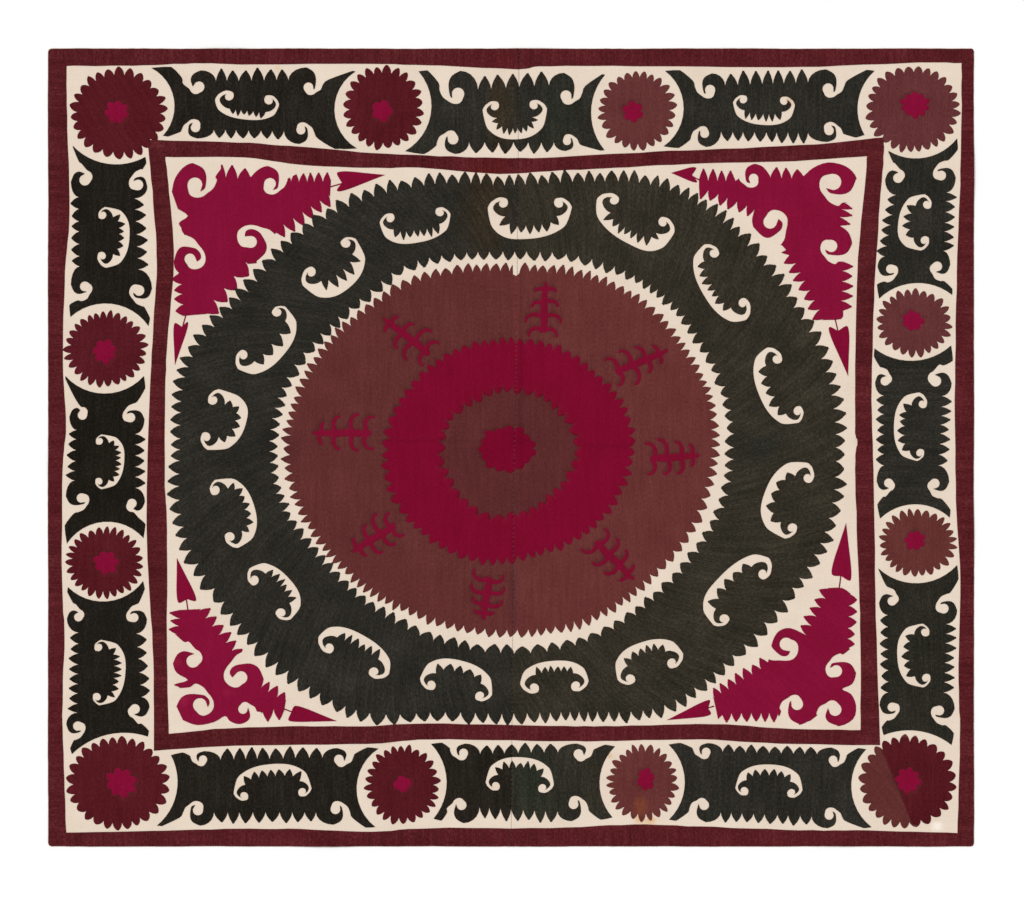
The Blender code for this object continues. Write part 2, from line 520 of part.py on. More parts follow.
def border_figure(row, seed):
    """A black border figure's outline and the inlets cut into it."""
    along = (1, 0) if row["axis"] == "x" else (0, 1)
    near = (0, -1) if row["axis"] == "x" else (-1, 0)
    back, far = mul(along, -1), mul(near, -1)
    frames, wings = [], []
    for volute, horn, a, b in zip(row["volutes"], row["horns"], (along, along, back, back), (near, far, near, far)):
        x, y, size, turn, reach, wing = volute
        frame = ((x, y), a, b)
        toward = unit(sub(in_frame(frame, 0.35 * size, reach), horn))
        frames.append(frame)
        wings.append(add(add(horn, mul(toward, wing)), mul(b, 0.1 * wing)))
    horns, hollows = row["horns"], row["hollows"]
    edge = figure_side(row, 0, 2, row["rows"][0], near, frames, wings, seed)
    edge += arc_through(horns[2], hollows[1], horns[3], 6)
    edge += figure_side(row, 1, 3, row["rows"][1], far, frames, wings, seed + 1)[::-1]
    edge += arc_through(horns[1], hollows[0], horns[0], 6)
    cuts = []
    for volute, frame, wing in zip(row["volutes"], frames, wings):
        cuts.append(inlet(frame, volute[2], volute[3], volute[4], wing))
    return edge, cuts


def spray(row, seed):
    """A corner spray's outline and the inlets cut into it."""
    edge = []
    last = row["edge"][-1][:2]
    for i, (x, y, teeth, length) in enumerate(row["edge"]):
        if teeth:
            edge += toothed_line(last, (x, y), teeth, length, across(unit(sub((x, y), last))), seed + i)[1:]
        edge.append((x, y))
        last = (x, y)
    cuts = []
    for x, y, size, turn, reach, wing_x, wing_y, ax, ay, bx, by, loose in row["curls"]:
        cuts.append(inlet(((x, y), (ax, ay), (bx, by)), size, turn, reach, (wing_x, wing_y), loose))
    return edge, cuts


def star(x, y, wide, high, points, depth, seed):
    """A small uneven flower or star."""
    dice = random.Random(seed)
    spin = dice.uniform(0, math.tau)
    out = []
    for i in range(2 * points):
        angle = spin + math.pi * i / points
        size = (1.0 if i % 2 == 0 else depth) * dice.uniform(0.92, 1.08)
        out.append((x + wide * size * math.cos(angle), y + high * size * math.sin(angle)))
    return out


def rosette(row, seed):
    """A toothed disc."""
    x, y, wide, high, teeth = row[:5]
    inner_wide, inner_high = wide - ROSETTE_TOOTH, high - ROSETTE_TOOTH
    loop = [(x + inner_wide * math.cos(math.tau * i / 96), y + inner_high * math.sin(math.tau * i / 96))
            for i in range(96)]
    return toothed_loop(loop, teeth, ROSETTE_TOOTH, 1.0, seed)


def bud(row):
    """A pointed bud with two lobes."""
    tip, lobe, other, notch = row[0:2], row[2:4], row[4:6], row[6:8]
    side = add(mix(lobe, tip, 0.45), mul(sub(lobe, mix(lobe, other, 0.5)), 0.25))
    other_side = add(mix(other, tip, 0.45), mul(sub(other, mix(lobe, other, 0.5)), 0.25))
    return [tip, side, lobe, notch, other, other_side]


def sprig(x0, y0, x1, y1):
    """A stem with four pairs of curved legs."""
    start, end = (x0, y0), (x1, y1)
    along = unit(sub(end, start))
    side = across(along)
    span = math.dist(start, end)
    frame = (start, along, side)
    shapes = [[in_frame(frame, a, b) for a, b in ((0, 0), (5, 2.2), (span, 2.4), (span, -2.4), (5, -2.2))]]
    for i in range(SPRIG_LEGS):
        foot = span * (0.16 + 0.2 * i)
        length = SPRIG_REACH * (0.9 + 0.2 * (i % 2))
        for way in (1, -1):
            leg = ((foot, 0), (foot - 1, 0.7 * length), (foot + 7, length), (foot + 4, 0))
            shapes.append([in_frame(frame, a, way * b) for a, b in leg])
    return shapes


def ring_edge(which):
    """One of the toothed edges of the centre."""
    count, length, side = RING_EDGES[which]
    radii = [row[which] - 0.5 * side * length for row in RADII]
    loop = [(MIDDLE[0] + r * math.cos(math.tau * i / 24), MIDDLE[1] + r * math.sin(math.tau * i / 24))
            for i, r in enumerate(radii)]
    return toothed_loop(smooth_loop(loop, 6), count, length, side, 40 + which)


def paint_list():
    """Every field as outline, thread and the threads it may cover, from the lowest up."""
    fields = [
        (list(BORDER_EDGE), "cotton", None), (list(BAND_OUTER), "band", None),
        (list(BAND_INNER), "cotton", None), (ring_edge(0), "black", None),
    ]
    fields += [(crescent(*row, i), "cotton", ("black",)) for i, row in enumerate(RING_CRESCENTS)]
    fields += [(ring_edge(1), "cotton", None), (ring_edge(2), "brown", None)]
    fields += [(ring_edge(3), "crimson", None), (ring_edge(4), "brown", None)]
    fields.append((star(*FLOWER, 0.84, 9), "crimson", None))
    for row in SPRIGS:
        fields += [(shape, "crimson", ("brown",)) for shape in sprig(*row)]
    for i, row in enumerate(ROSETTES):
        fields.append((rosette(row, 60 + i), row[5], None))
        fields.append((star(*row[6:11], 0.62, 80 + i), "crimson", None))
    for i, row in enumerate(FIGURES):
        edge, cuts = border_figure(row, 100 + 2 * i)
        fields.append((edge, "black", ("cotton",)))
        fields += [(cut, "cotton", ("black",)) for cut in cuts]
        fields.append((crescent(*row["crescent"], 20 + i), "cotton", ("black",)))
    for i, row in enumerate(SPRAYS):
        edge, cuts = spray(row, 200 + 40 * i)
        fields.append((edge, "crimson", ("cotton",)))
        fields += [(cut, "cotton", ("crimson",)) for cut in cuts]
    fields += [(bud(row), "crimson", ("cotton",)) for row in BUDS]
    return fields


def panel_outline(side):
    """A panel's edge: side -1 is the left panel, 1 the right one."""
    gap = 0.5 * SEAM_GAP / SQUARE * side
    seam = [(x + gap, y) for x, y in SEAM]
    edge_x = LEFT if side < 0 else RIGHT
    step = CORNER_ROUND * (1 if side < 0 else -1)
    cut = 0.3
    bottom = [(edge_x + step, BOTTOM), (edge_x + cut * step, BOTTOM - cut * CORNER_ROUND),
              (edge_x, BOTTOM - CORNER_ROUND)]
    top = [(edge_x, TOP + CORNER_ROUND), (edge_x + cut * step, TOP + cut * CORNER_ROUND),
           (edge_x + step, TOP)]
    return seam + bottom + top


def holds(outline, point):
    """Whether an outline goes round a point."""
    x, y = point
    turns = 0
    for (x0, y0), (x1, y1) in zip(outline, outline[1:] + outline[:1]):
        if (y0 <= y) == (y1 <= y):
            continue
        if x < x0 + (y - y0) * (x1 - x0) / (y1 - y0):
            turns += 1 if y1 > y0 else -1
    return turns != 0


def with_bounds(fields):
    """Fields with the box round each."""
    out = []
    for outline, thread, over in fields:
        xs, ys = zip(*outline)
        out.append((outline, thread, over, min(xs), min(ys), max(xs), max(ys)))
    return out


def thread_at(point, fields):
    """The thread that shows at a point."""
    found = "band"
    x, y = point
    for outline, thread, over, x0, y0, x1, y1 in fields:
        if x < x0 or x > x1 or y < y0 or y > y1:
            continue
        if over is not None and found not in over:
            continue
        if holds(outline, point):
            found = thread
    return found


def mesh_of(outlines):
    """Triangles between outlines: corner points and triples of their numbers."""
    corners, edges = [], []
    for outline in outlines:
        first = len(corners)
        corners += [Vector(point) for point in outline]
        count = len(outline)
        edges += [(first + i, first + (i + 1) % count) for i in range(count)]
    made = delaunay_2d_cdt(corners, edges, [], 0, 1e-4)
    return [tuple(v) for v in made[0]], [tuple(face) for face in made[2]]


def centre_of(points, face):
    return tuple(sum(points[i][k] for i in face) / 3 for k in (0, 1))


def colour_edges(fields):
    """The lines where one thread or the cotton meets another."""
    points, faces = mesh_of([field[0] for field in fields])
    boxed = with_bounds(fields)
    sides = {}
    for face in faces:
        thread = thread_at(centre_of(points, face), boxed)
        for a, b in zip(face, face[1:] + face[:1]):
            sides.setdefault((min(a, b), max(a, b)), []).append(thread)
    snap = [tuple(round(k / SNAP) * SNAP for k in point) for point in points]
    lines = []
    for (a, b), threads in sides.items():
        if len(threads) == 2 and threads[0] != threads[1] and snap[a] != snap[b]:
            lines.append([snap[a], snap[b]])
    return thin_lines(lines)


def fan_of(corner, points, faces, around):
    """The faces round a corner in order from any gap between them, each with its angle there."""
    fan = []
    for index in around:
        a, b = (points[k] for k in faces[index] if k != corner)
        x, y = points[corner]
        first = math.atan2(a[1] - y, a[0] - x)
        width = (math.atan2(b[1] - y, b[0] - x) - first + math.pi) % math.tau - math.pi
        fan.append(((first + width / 2) % math.tau, abs(width), index))
    fan.sort()
    gaps = [(now[0] - before[0]) % math.tau - (now[1] + before[1]) / 2
            for before, now in zip(fan[-1:] + fan[:-1], fan)]
    start = gaps.index(max(gaps))
    return fan[start:] + fan[:start]


def pinches(points, faces, threads):
    """The corners where two raised fields meet in a mere point."""
    around = {}
    for index, face in enumerate(faces):
        for corner in face:
            around.setdefault(corner, []).append(index)
    found = []
    for corner, indices in around.items():
        fan = fan_of(corner, points, faces, indices)
        flags = [threads[index] != "cotton" for _, _, index in fan]
        whole = sum(width for _, width, _ in fan) > math.tau - 1e-3
        turns = sum(flags[i] != flags[i - 1] for i in range(0 if whole else 1, len(flags)))
        if not whole:
            turns += flags[0] + flags[-1]
        if turns > 2:
            found.append(points[corner])
    return found


def opening(point):
    """A small patch of bare cotton round a point."""
    x, y = point
    return [(x - OPENING, y), (x, y - OPENING), (x + OPENING, y), (x, y + OPENING)]


def chart_panel(outline, lines, boxed):
    """A panel's triangles and their threads, with bare cotton where fields would meet in a point."""
    patches = []
    while True:
        points, faces = mesh_of([outline] + lines + patches)
        kept, threads = [], []
        open_fields = boxed + with_bounds([(patch, "cotton", None) for patch in patches])
        for face in faces:
            centre = centre_of(points, face)
            if holds(outline, centre):
                kept.append(face)
                threads.append(thread_at(centre, open_fields))
        found = pinches(points, kept, threads)
        if not found or len(patches) > 200:
            return points, kept, threads
        patches += [opening(point) for point in found]


def thin_lines(lines):
    """Lines without the points that lie almost straight between their neighbours."""
    links = {}
    for a, b in lines:
        links.setdefault(a, set()).add(b)
        links.setdefault(b, set()).add(a)
    for _ in range(THIN_ROUNDS):
        fixed = set()
        for point in sorted(links):
            if point in fixed or len(links[point]) != 2:
                continue
            a, b = sorted(links[point])
            length = math.dist(a, b)
            area = abs((b[0] - a[0]) * (point[1] - a[1]) - (b[1] - a[1]) * (point[0] - a[0]))
            if length == 0 or area / length > SLACK or b in links[a]:
                continue
            links[a] ^= {point, b}
            links[b] ^= {point, a}
            del links[point]
            fixed |= {a, b}
    return [[a, b] for a in sorted(links) for b in sorted(links[a]) if a < b]


def material_for(name, thread):
    """A matt cloth or thread material."""
    material = bpy.data.materials.new(name + " " + thread)
    material.use_nodes = True
    shader = material.node_tree.nodes["Principled BSDF"]
    shader.inputs["Base Color"].default_value = (*COLOURS[thread], 1.0)
    shader.inputs["Roughness"].default_value = 0.85
    shader.inputs["Metallic"].default_value = 0.0
    return material


def place(point, height):
    """A chart point in metres, with the cloth's middle at the origin."""
    x = (point[0] - (LEFT + RIGHT) / 2) * SQUARE
    y = ((TOP + BOTTOM) / 2 - point[1]) * SQUARE
    return (x, y, height)


def build_panel(name, side, lines, boxed):
    """One panel: cotton with raised fields, closed by its edge and its underside."""
    points, kept, threads = chart_panel(panel_outline(side), lines, boxed)
    heights = [COTTON_TOP if thread == "cotton" else STITCH_TOP for thread in threads]
    corner_heights = {}
    for face, height in zip(kept, heights):
        for corner in face:
            corner_heights.setdefault(corner, set()).add(height)
    numbers, verts = {}, []

    def vert(corner, height):
        if (corner, height) not in numbers:
            numbers[(corner, height)] = len(verts)
            verts.append(place(points[corner], height))
        return numbers[(corner, height)]

    names = list(COLOURS)
    polygons, slots = [], []
    owners = {}
    for index, (face, height) in enumerate(zip(kept, heights)):
        polygons.append([vert(corner, height) for corner in face[::-1]])
        slots.append(names.index(threads[index]))
        for a, b in zip(face, face[1:] + face[:1]):
            owners[(a, b)] = index
    for (a, b), index in owners.items():
        high = heights[index]
        other = owners.get((b, a))
        low = 0.0 if other is None else heights[other]
        if other is not None and low >= high:
            continue
        wall = [vert(a, low), vert(b, low)]
        wall += [vert(b, h) for h in sorted(corner_heights[b]) if low < h < high]
        wall += [vert(b, high), vert(a, high)]
        wall += [vert(a, h) for h in sorted(corner_heights[a], reverse=True) if low < h < high]
        polygons.append(wall[::-1])
        slots.append(names.index(threads[index]))
    rim = {a: b for (a, b) in owners if (b, a) not in owners}
    start = next(iter(rim))
    loop = [start]
    while rim[loop[-1]] != start:
        loop.append(rim[loop[-1]])
    base, base_faces = mesh_of([[points[corner] for corner in loop]])
    lookup = {tuple(round(k, 4) for k in points[corner]): corner for corner in loop}
    for face in base_faces:
        if holds([points[corner] for corner in loop], centre_of(base, face)):
            found = [lookup[tuple(round(k, 4) for k in base[i])] for i in face]
            polygons.append([vert(corner, 0.0) for corner in found])
            slots.append(names.index("cotton"))
    mesh = bpy.data.meshes.new(name)
    mesh.from_pydata(verts, [], polygons)
    for thread in names:
        mesh.materials.append(material_for(name, thread))
    mesh.polygons.foreach_set("material_index", slots)
    mesh.update()
    panel = bpy.data.objects.new(name, mesh)
    bpy.context.scene.collection.objects.link(panel)
    return panel


def main():
    clear_scene()
    fields = paint_list()
    boxed = with_bounds(fields)
    lines = colour_edges(fields)
    build_panel("panel_left", -1, lines, boxed)
    build_panel("panel_right", 1, lines, boxed)


main()
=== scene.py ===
import bisect
import cmath
import json
import math
import random

import bpy
import numpy as np
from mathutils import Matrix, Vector
from mathutils.geometry import delaunay_2d_cdt
from mathutils.kdtree import KDTree

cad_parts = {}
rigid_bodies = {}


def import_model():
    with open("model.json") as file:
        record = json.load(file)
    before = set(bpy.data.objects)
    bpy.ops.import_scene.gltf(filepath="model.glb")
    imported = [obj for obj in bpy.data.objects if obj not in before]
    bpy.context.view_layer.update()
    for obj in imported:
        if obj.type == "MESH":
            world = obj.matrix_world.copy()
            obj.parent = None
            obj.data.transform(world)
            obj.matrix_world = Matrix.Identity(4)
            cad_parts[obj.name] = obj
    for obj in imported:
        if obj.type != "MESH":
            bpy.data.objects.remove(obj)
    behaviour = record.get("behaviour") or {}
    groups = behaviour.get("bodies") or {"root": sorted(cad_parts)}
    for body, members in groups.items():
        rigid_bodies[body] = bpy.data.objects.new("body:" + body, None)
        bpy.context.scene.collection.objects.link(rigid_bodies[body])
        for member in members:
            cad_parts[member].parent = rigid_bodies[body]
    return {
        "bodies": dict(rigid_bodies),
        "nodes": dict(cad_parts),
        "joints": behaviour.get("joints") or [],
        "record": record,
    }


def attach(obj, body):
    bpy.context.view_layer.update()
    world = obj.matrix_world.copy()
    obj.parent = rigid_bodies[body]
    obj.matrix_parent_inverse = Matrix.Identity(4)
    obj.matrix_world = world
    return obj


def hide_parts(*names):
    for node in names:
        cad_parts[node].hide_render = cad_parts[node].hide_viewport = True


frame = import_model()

# Sizes in metres
SQUARE = 0.002
COTTON = 0.0006
STITCH = 0.0010
STITCH_EDGE = 0.00065
REVERSE = 0.0002
REST = 0.0003
SWELL_HEIGHT = 0.0009
SEAM_RIDGE = 0.0006
CREASE_RIDGE = 0.0005
RIDGE_WIDE, GROOVE_WIDE = 0.011, 0.0022
FOLD_WIDE, FOLD_GROOVE = 0.014, 0.0035
FOLD_WANDER = 0.0015
SEAM_THREAD = 0.0003
SEAM_ARCH = 0.0004
FLOOR_DROP = 0.0002
SHEET_MARGIN = 0.002
ROW = 0.0016
TIE = 0.0042
YARN = 0.0011
HALF_WIDE, HALF_HIGH = 0.927, 0.799
PANEL_WIDE = (0.936, 0.918)
VIEW_WIDE = 2.048

# Sizes of the noise in the thread and in the cotton
BROAD, FINE, GRAIN = (0.009, 0.11, 1.0), (0.0026, 0.045, 1.0), (0.0032, 0.0055, 1.0)
WARP, WEFT = (0.0014, 0.05, 1.0), (0.05, 0.0014, 1.0)
THREAD_CLOUD, COTTON_CLOUD, SPECK = (0.07, 0.07, 0.07), (0.09, 0.09, 0.09), (0.004, 0.004, 0.004)
TWIST = (0.0006, 0.003, 0.001)

# The camera's lens and sensor, in millimetres
LENS = 85.0
SENSOR = 36.0

# Slow swells of the lying cloth: turns per metre across and up, phase, share
SWELLS = ((11.0, 17.0, 0.4, 0.6), (-19.0, 9.0, 2.1, 0.5), (31.0, -12.0, 4.0, 0.35), (7.0, -34.0, 1.0, 0.3))

# Linear colours
EDGE_COLOUR = (0.16, 0.045, 0.035)
SEAM_DARK = (0.09, 0.04, 0.03)
SEAM_LIGHT = (0.18, 0.085, 0.06)
COTTON_DARK = (0.674, 0.557, 0.442)
COTTON_MIDDLE = (0.726, 0.609, 0.497)
COTTON_LIGHT = (0.772, 0.657, 0.547)
THREADS = {
    "band": (0.081, 0.0105, 0.0132), "black": (0.0216, 0.0198, 0.0155), "maroon": (0.079, 0.0080, 0.0118),
    "brown": (0.1045, 0.025, 0.0235), "crimson": (0.175, 0.0022, 0.021),
}
# Each thread's darkest and lightest streaks as factors of its colour
TONES = {
    "band": ((0.5, 0.38, 0.42), (1.75, 2.4, 2.2)), "black": ((0.42, 0.42, 0.4), (2.1, 2.0, 2.05)),
    "maroon": ((0.7, 0.55, 0.6), (1.35, 1.65, 1.6)), "brown": ((0.76, 0.65, 0.66), (1.28, 1.45, 1.45)),
    "crimson": ((0.82, 0.75, 0.7), (1.18, 1.3, 1.35)),
}
# How much of the edge colour each thread takes where it is worn at its edge
EDGE_SHARE = {"band": 0.4, "black": 0.5, "maroon": 0.3, "brown": 0.15, "crimson": 0.15}
# Factors of red, green and blue for single pieces and for kinds of piece
SHADES = {
    "brown_core": (0.90, 0.83, 0.88), "spray": (1.17, 2.0, 1.5), "centre_flower": (0.9, 0.75, 0.87),
    "figure_1": (0.68, 0.62, 0.6), "figure_9": (0.88, 0.9, 0.82), "figure_10": (0.69, 0.62, 0.58),
    "figure_11_left": (0.7, 0.61, 0.55), "figure_11_right": (1.06, 1.08, 1.0),
    "black_ring_right": (1.35, 1.27, 1.08), "rosette_4": (1.09, 1.12, 1.26), "rosette_11": (1.09, 1.12, 1.12),
    "brown_disc_right": (1.12, 1.12, 1.1), "figure_4": (0.60, 0.54, 0.53), "figure_5": (0.50, 0.45, 0.40),
    "figure_6": (0.58, 0.53, 0.50), "bud": (1.1, 1.5, 1.3), "rosette_3": (1.12, 1.22, 1.25),
    "rosette_7": (1.06, 1.14, 1.2), "star": (1.15, 1.5, 1.4), "rosette_5": (1.1, 1.1, 1.2),
    "rosette_8": (1.06, 1.1, 1.05), "sprig": (1.0, 1.6, 1.1),
}

# How far a piece's shade may stray, and how uneven the pads' height is, as shares
THREAD_SPREAD, COTTON_SPREAD = 0.03, 0.004
PAD_UNEVEN = 0.12

# How the threads lie: the ring's mean radius and its twist per metre, and the turn of a piece's threads
# in degrees
RING_RADIUS = 0.52
RING_TWIST = -0.9
THREAD_TURNS = {"figure_8": 90.0, "spray_4": 135.0, "rosette_12": 135.0, "rosette_1": 150.0}

# Worn and faded places of the stitching, and painted shade and highlight beside the seam and along the fold
# crease: x, y, half width, half height, factors of red, green and blue
WORN_AND_SHADED = (
    (500, 112, 13, 44, 1.45, 1.15, 0.85), (486, 212, 24, 46, 1.4, 1.12, 0.85),
    (556, 110, 22, 40, 0.95, 1.12, 1.02), (532, 785, 18, 40, 0.92, 1.12, 1.0),
    # The places at x 520.5 and 514 are painted shade beside the seam, and the one at x 516 is a painted
    # highlight along it
    (520.5, 360, 3.0, 110, 0.84, 0.84, 0.86), (516.0, 300, 2.0, 60, 1.3, 1.0, 1.1),
    (514.0, 600, 4.0, 40, 0.85, 0.85, 1.0), (160, 147, 5, 6, 1.25, 1.5, 1.4),
    (756, 447, 26, 14, 0.74, 0.84, 0.95), (270, 447, 30, 20, 0.77, 0.79, 0.8),
    (590, 785, 20, 40, 1.12, 1.06, 1.0), (640, 806, 6, 9, 1.6, 1.7, 0.85), (343, 105, 16, 40, 1.3, 1.38, 1.4),
    # The places at y 440.5 and 446, and the one at x 917 on the next line, are painted shade along the fold
    # crease
    (428, 440.5, 48, 2.2, 0.88, 0.88, 0.9), (606, 446, 32, 2.2, 0.9, 0.9, 0.92),
    (917, 450, 34, 2.5, 0.75, 0.75, 0.78), (177, 662, 4, 4, 1.2, 2.2, 1.2), (184, 700, 5, 4, 1.25, 2.4, 1.3),
    (237, 670, 5, 4, 1.2, 2.0, 1.2), (228, 693, 5, 4, 1.15, 1.8, 1.2), (784, 648, 5, 4, 1.15, 1.9, 1.2),
    (843, 664, 4, 4, 1.15, 1.8, 1.2), (843, 719, 4, 3, 1.15, 1.8, 1.2), (789, 711, 4, 3, 1.15, 1.8, 1.2),
)

# Stains of the cotton: x, y, half width, half height, factors of red, green and blue
STAINS = (
    (648, 821, 9, 4, 0.97, 0.84, 0.70), (610, 756, 3, 2, 0.9, 0.72, 0.55),
    (790, 101, 3, 6, 0.92, 0.74, 0.58), (316, 134, 2.5, 2, 1.0, 0.80, 0.55),
    (277, 69, 2, 2, 1.0, 0.82, 0.6), (605, 84, 5, 4, 0.93, 0.93, 0.94), (886, 317, 3, 2, 0.95, 0.86, 0.74),
    (560, 259, 60, 8, 0.985, 0.97, 0.95), (858, 440, 6, 5, 0.95, 0.92, 0.88),
    (937, 826, 5.5, 3.5, 1.25, 1.35, 1.5), (639, 818, 5, 5, 0.96, 0.74, 0.5),
    (651, 820, 4, 4, 0.96, 0.8, 0.6),
)

# Places and sizes on the chart, in squares
TOP, BOTTOM = 48.0, 847.0
LEFT, RIGHT = 47.5, 974.5
MIDDLE = (511.0, 447.5)
CREASE = 443.5
CORNER_ROUND = 3.0
EDGE_STEP = 6.0
EDGE_RAGGED = 0.35
EDGE_WANDER = 0.3
BAND_INSET = 0.35
PAST_END = 4.0
NET = 6.0
CREASE_NET = 5.0
COTTON_NET = 4.0
CLEAR = 1.6
ROUND = 0.55
SEAM_HALF = 0.04
SEAM_STEP = 4.5
SEAM_REACH = 1.15
ROSETTE_TOOTH = 7.5
TIP_BLUNT = 0.8
NOTCH = 0.62
UNEVEN = 0.35
SPRAY_SINK = 0.35
SPRIG_STEM = 3.2
PAST_EDGE = 5.0
STRAIGHT_WING = 5

# Waves of the cloth's edge: height, rate, share of y, start
EDGE_WAVES = ((0.45, 0.031, 1.0, 0.0), (0.3, 0.083, -0.6, 1.3))

# Height of the net's triangles as a share of their width, and the factor that holds an inner row's distance
NET_HIGH = 0.87
ROW_REACH = 1.15

# Rows of the nets beside the seam and across the crease
BESIDE_SEAM = (-7, -4.5, -2.5, 2.5, 4.5, 7)
ACROSS_CREASE = (-7.3, -4.8, -2.6, -1.2, 0.0, 1.2, 2.6, 4.8, 7.3)
COTTON_AT_SEAM = (-2.2, -1.0, -0.1, 0.1, 1.0, 2.2)

# A seam stitch's rings: place along it and size
STITCH_RINGS = ((0.0, 0.3), (0.25, 1.0), (0.5, 1.1), (0.75, 1.0), (1.0, 0.3))

# Numbers of parts, and the fewest faces that make a piece
LOOP_PARTS = 96
HOLLOW_PARTS = 32
STITCH_SIDES = 6
SEAM_PARTS = 140
CREASE_PARTS = 185
LEAST_FACES = 40

# A hook's stroke: where it starts and how far apart its points are, in degrees
CURL_START, CURL_STEP = 168, 22

# A crescent's curled end for a reach of END_REACH balls: angle round its ball and radius in balls,
# outside, then inside to the barb
END_OUTER = (
    (155, 3.6), (169, 3.15), (184, 2.6), (200, 2.0), (218, 1.66), (248, 1.3), (309, 1.15), (360, 1.05),
    (405, 1.0), (450, 1.0), (495, 0.97), (540, 0.85), (574, 0.68),
)
END_INNER = ((180, 1.5), (160, 2.2), (142, 2.5), (120, 2.6), (98, 2.75), (80, 2.85))
END_REACH = 3.6
EYE_LEAST = 1.15
BACK_FULL = 0.86
HOLLOW_FULL = 0.7
END_LOW = 0.9
BARB_LOW = 2.81
BARB_IN = 0.49

# A sprig's pairs of legs: foot along the stem, reach, drop towards the root; and the legs' curve
SPRIG_LEGS = ((0.14, 10.0, 3.0), (0.36, 14.5, 6.0), (0.6, 17.0, 7.5), (0.83, 14.5, 8.5))
SPRIG_LEG_CURVE = ((0.2, 0.0), (-0.1, 0.3), (-0.12, 0.62), (0.12, 0.86), (0.5, 1.0), (0.95, 0.98))

# The last rosette's half that was worked in another thread: x, y
DARK_HALF = ((877.0, 738.0), (893.0, 776.0), (912.0, 824.0), (968.0, 832.0), (972.0, 736.0))

# The seam between the panels: x, y
SEAM = ((519.2, TOP), (517.3, 290.0), (514.2, 450.0), (512.7, 650.0), (511.2, BOTTOM))

# Inner edge of the border band, clockwise from its top left corner: x, y
BORDER_EDGE = (
    (66.7, 66.0), (133.0, 65.8), (194.0, 63.6), (254.0, 64.4), (366.0, 64.0), (440.0, 65.6), (518.0, 69.3),
    (550.0, 66.2), (685.0, 66.5), (800.0, 67.0), (918.0, 62.7), (961.5, 63.0),
    (961.5, 116.0), (959.5, 200.0), (956.5, 288.0), (954.8, 400.0), (956.0, 500.0), (960.0, 580.0),
    (958.5, 680.0), (960.0, 740.0), (957.4, 833.0),
    (867.0, 830.3), (800.0, 830.0), (700.0, 826.5), (634.0, 824.5), (550.0, 828.0), (432.0, 828.0),
    (373.0, 831.4), (300.0, 829.0), (225.0, 829.0), (138.0, 831.4), (66.4, 832.5),
    (64.3, 779.0), (62.5, 703.0), (64.6, 638.0), (62.0, 580.0), (62.7, 469.0), (66.2, 426.0),
    (62.7, 362.0), (65.3, 271.0), (69.6, 212.0), (67.0, 116.0),
)

# Outer edge of the inner band, clockwise: x, y
BAND_OUTER = (
    (147.5, 140.0), (237.0, 142.5), (300.0, 147.0), (373.0, 153.0), (452.0, 156.6), (521.0, 158.3),
    (599.0, 154.8), (685.0, 150.5), (800.0, 145.4), (884.0, 137.5),
    (883.0, 164.0), (878.0, 228.0), (873.8, 300.0), (871.5, 400.0), (873.8, 487.0), (875.8, 617.0),
    (880.0, 745.0), (780.0, 743.6), (703.0, 739.3), (617.0, 740.8), (550.0, 741.0), (432.0, 739.3),
    (367.0, 743.6), (236.0, 745.8), (154.0, 750.7),
    (153.6, 660.0), (148.2, 573.0), (147.2, 490.0), (150.0, 400.0), (153.0, 332.0), (157.0, 265.0),
    (153.6, 202.0),
)

# Inner edge of the inner band, clockwise: x, y
BAND_INNER = (
    (165.5, 157.0), (245.0, 157.4), (300.0, 164.7), (375.0, 167.8), (418.0, 167.8), (499.0, 174.0),
    (550.0, 171.0), (616.0, 167.8), (702.0, 163.4), (780.0, 161.7), (867.0, 156.2),
    (865.0, 185.0), (859.0, 245.0), (855.5, 332.0), (855.0, 426.0), (857.0, 442.0), (855.0, 469.0),
    (858.0, 562.0), (860.5, 640.0), (860.5, 730.0),
    (780.0, 728.4), (714.0, 724.0), (617.0, 726.0), (550.0, 726.0), (427.0, 723.6), (367.0, 726.0),
    (300.0, 726.2), (225.0, 728.4), (168.8, 733.8),
    (167.0, 660.0), (167.0, 530.0), (165.0, 487.0), (165.0, 400.0), (167.5, 340.0), (174.0, 262.0),
    (170.0, 202.0),
)

# Mean radii about MIDDLE every 15 degrees from right going down:
# black ring outside, black ring inside, brown disc, crimson ring outside, crimson ring inside
RADII = (
    (330, 219, 204, 122, 66), (330, 218, 201, 118, 66), (316, 211, 197, 116, 64), (308, 206, 191, 114, 63),
    (304, 205, 190, 111, 64), (278, 204, 188, 109, 67), (271, 202, 186, 112, 67), (279, 203, 188, 117, 73),
    (309, 206, 192, 120, 72), (320, 212, 201, 122, 70), (329, 220, 210, 126, 69), (342, 234, 220, 127, 71),
    (336, 238, 225, 125, 70), (337, 233, 219, 122, 68), (311, 219, 210, 117, 66), (303, 208, 200, 113, 61),
    (292, 207, 194, 111, 58), (278, 197, 185, 108, 59), (267, 192, 180, 106, 58), (280, 197, 184, 108, 58),
    (305, 205, 191, 110, 59), (314, 213, 197, 111, 60), (318, 215, 199, 115, 62), (328, 219, 205, 120, 65),
)

# Round edges of the centre: length of the teeth, the side they point to, where the tip stands, bluntness
RING_EDGES = (
    (11.0, 1.0, 0.45, 1.0), (8.5, -1.0, 0.5, 1.2), (8.5, 1.0, 0.6, 0.9), (7.5, 1.0, 0.5, 1.1),
    (7.0, -1.0, 0.5, 1.0),
)

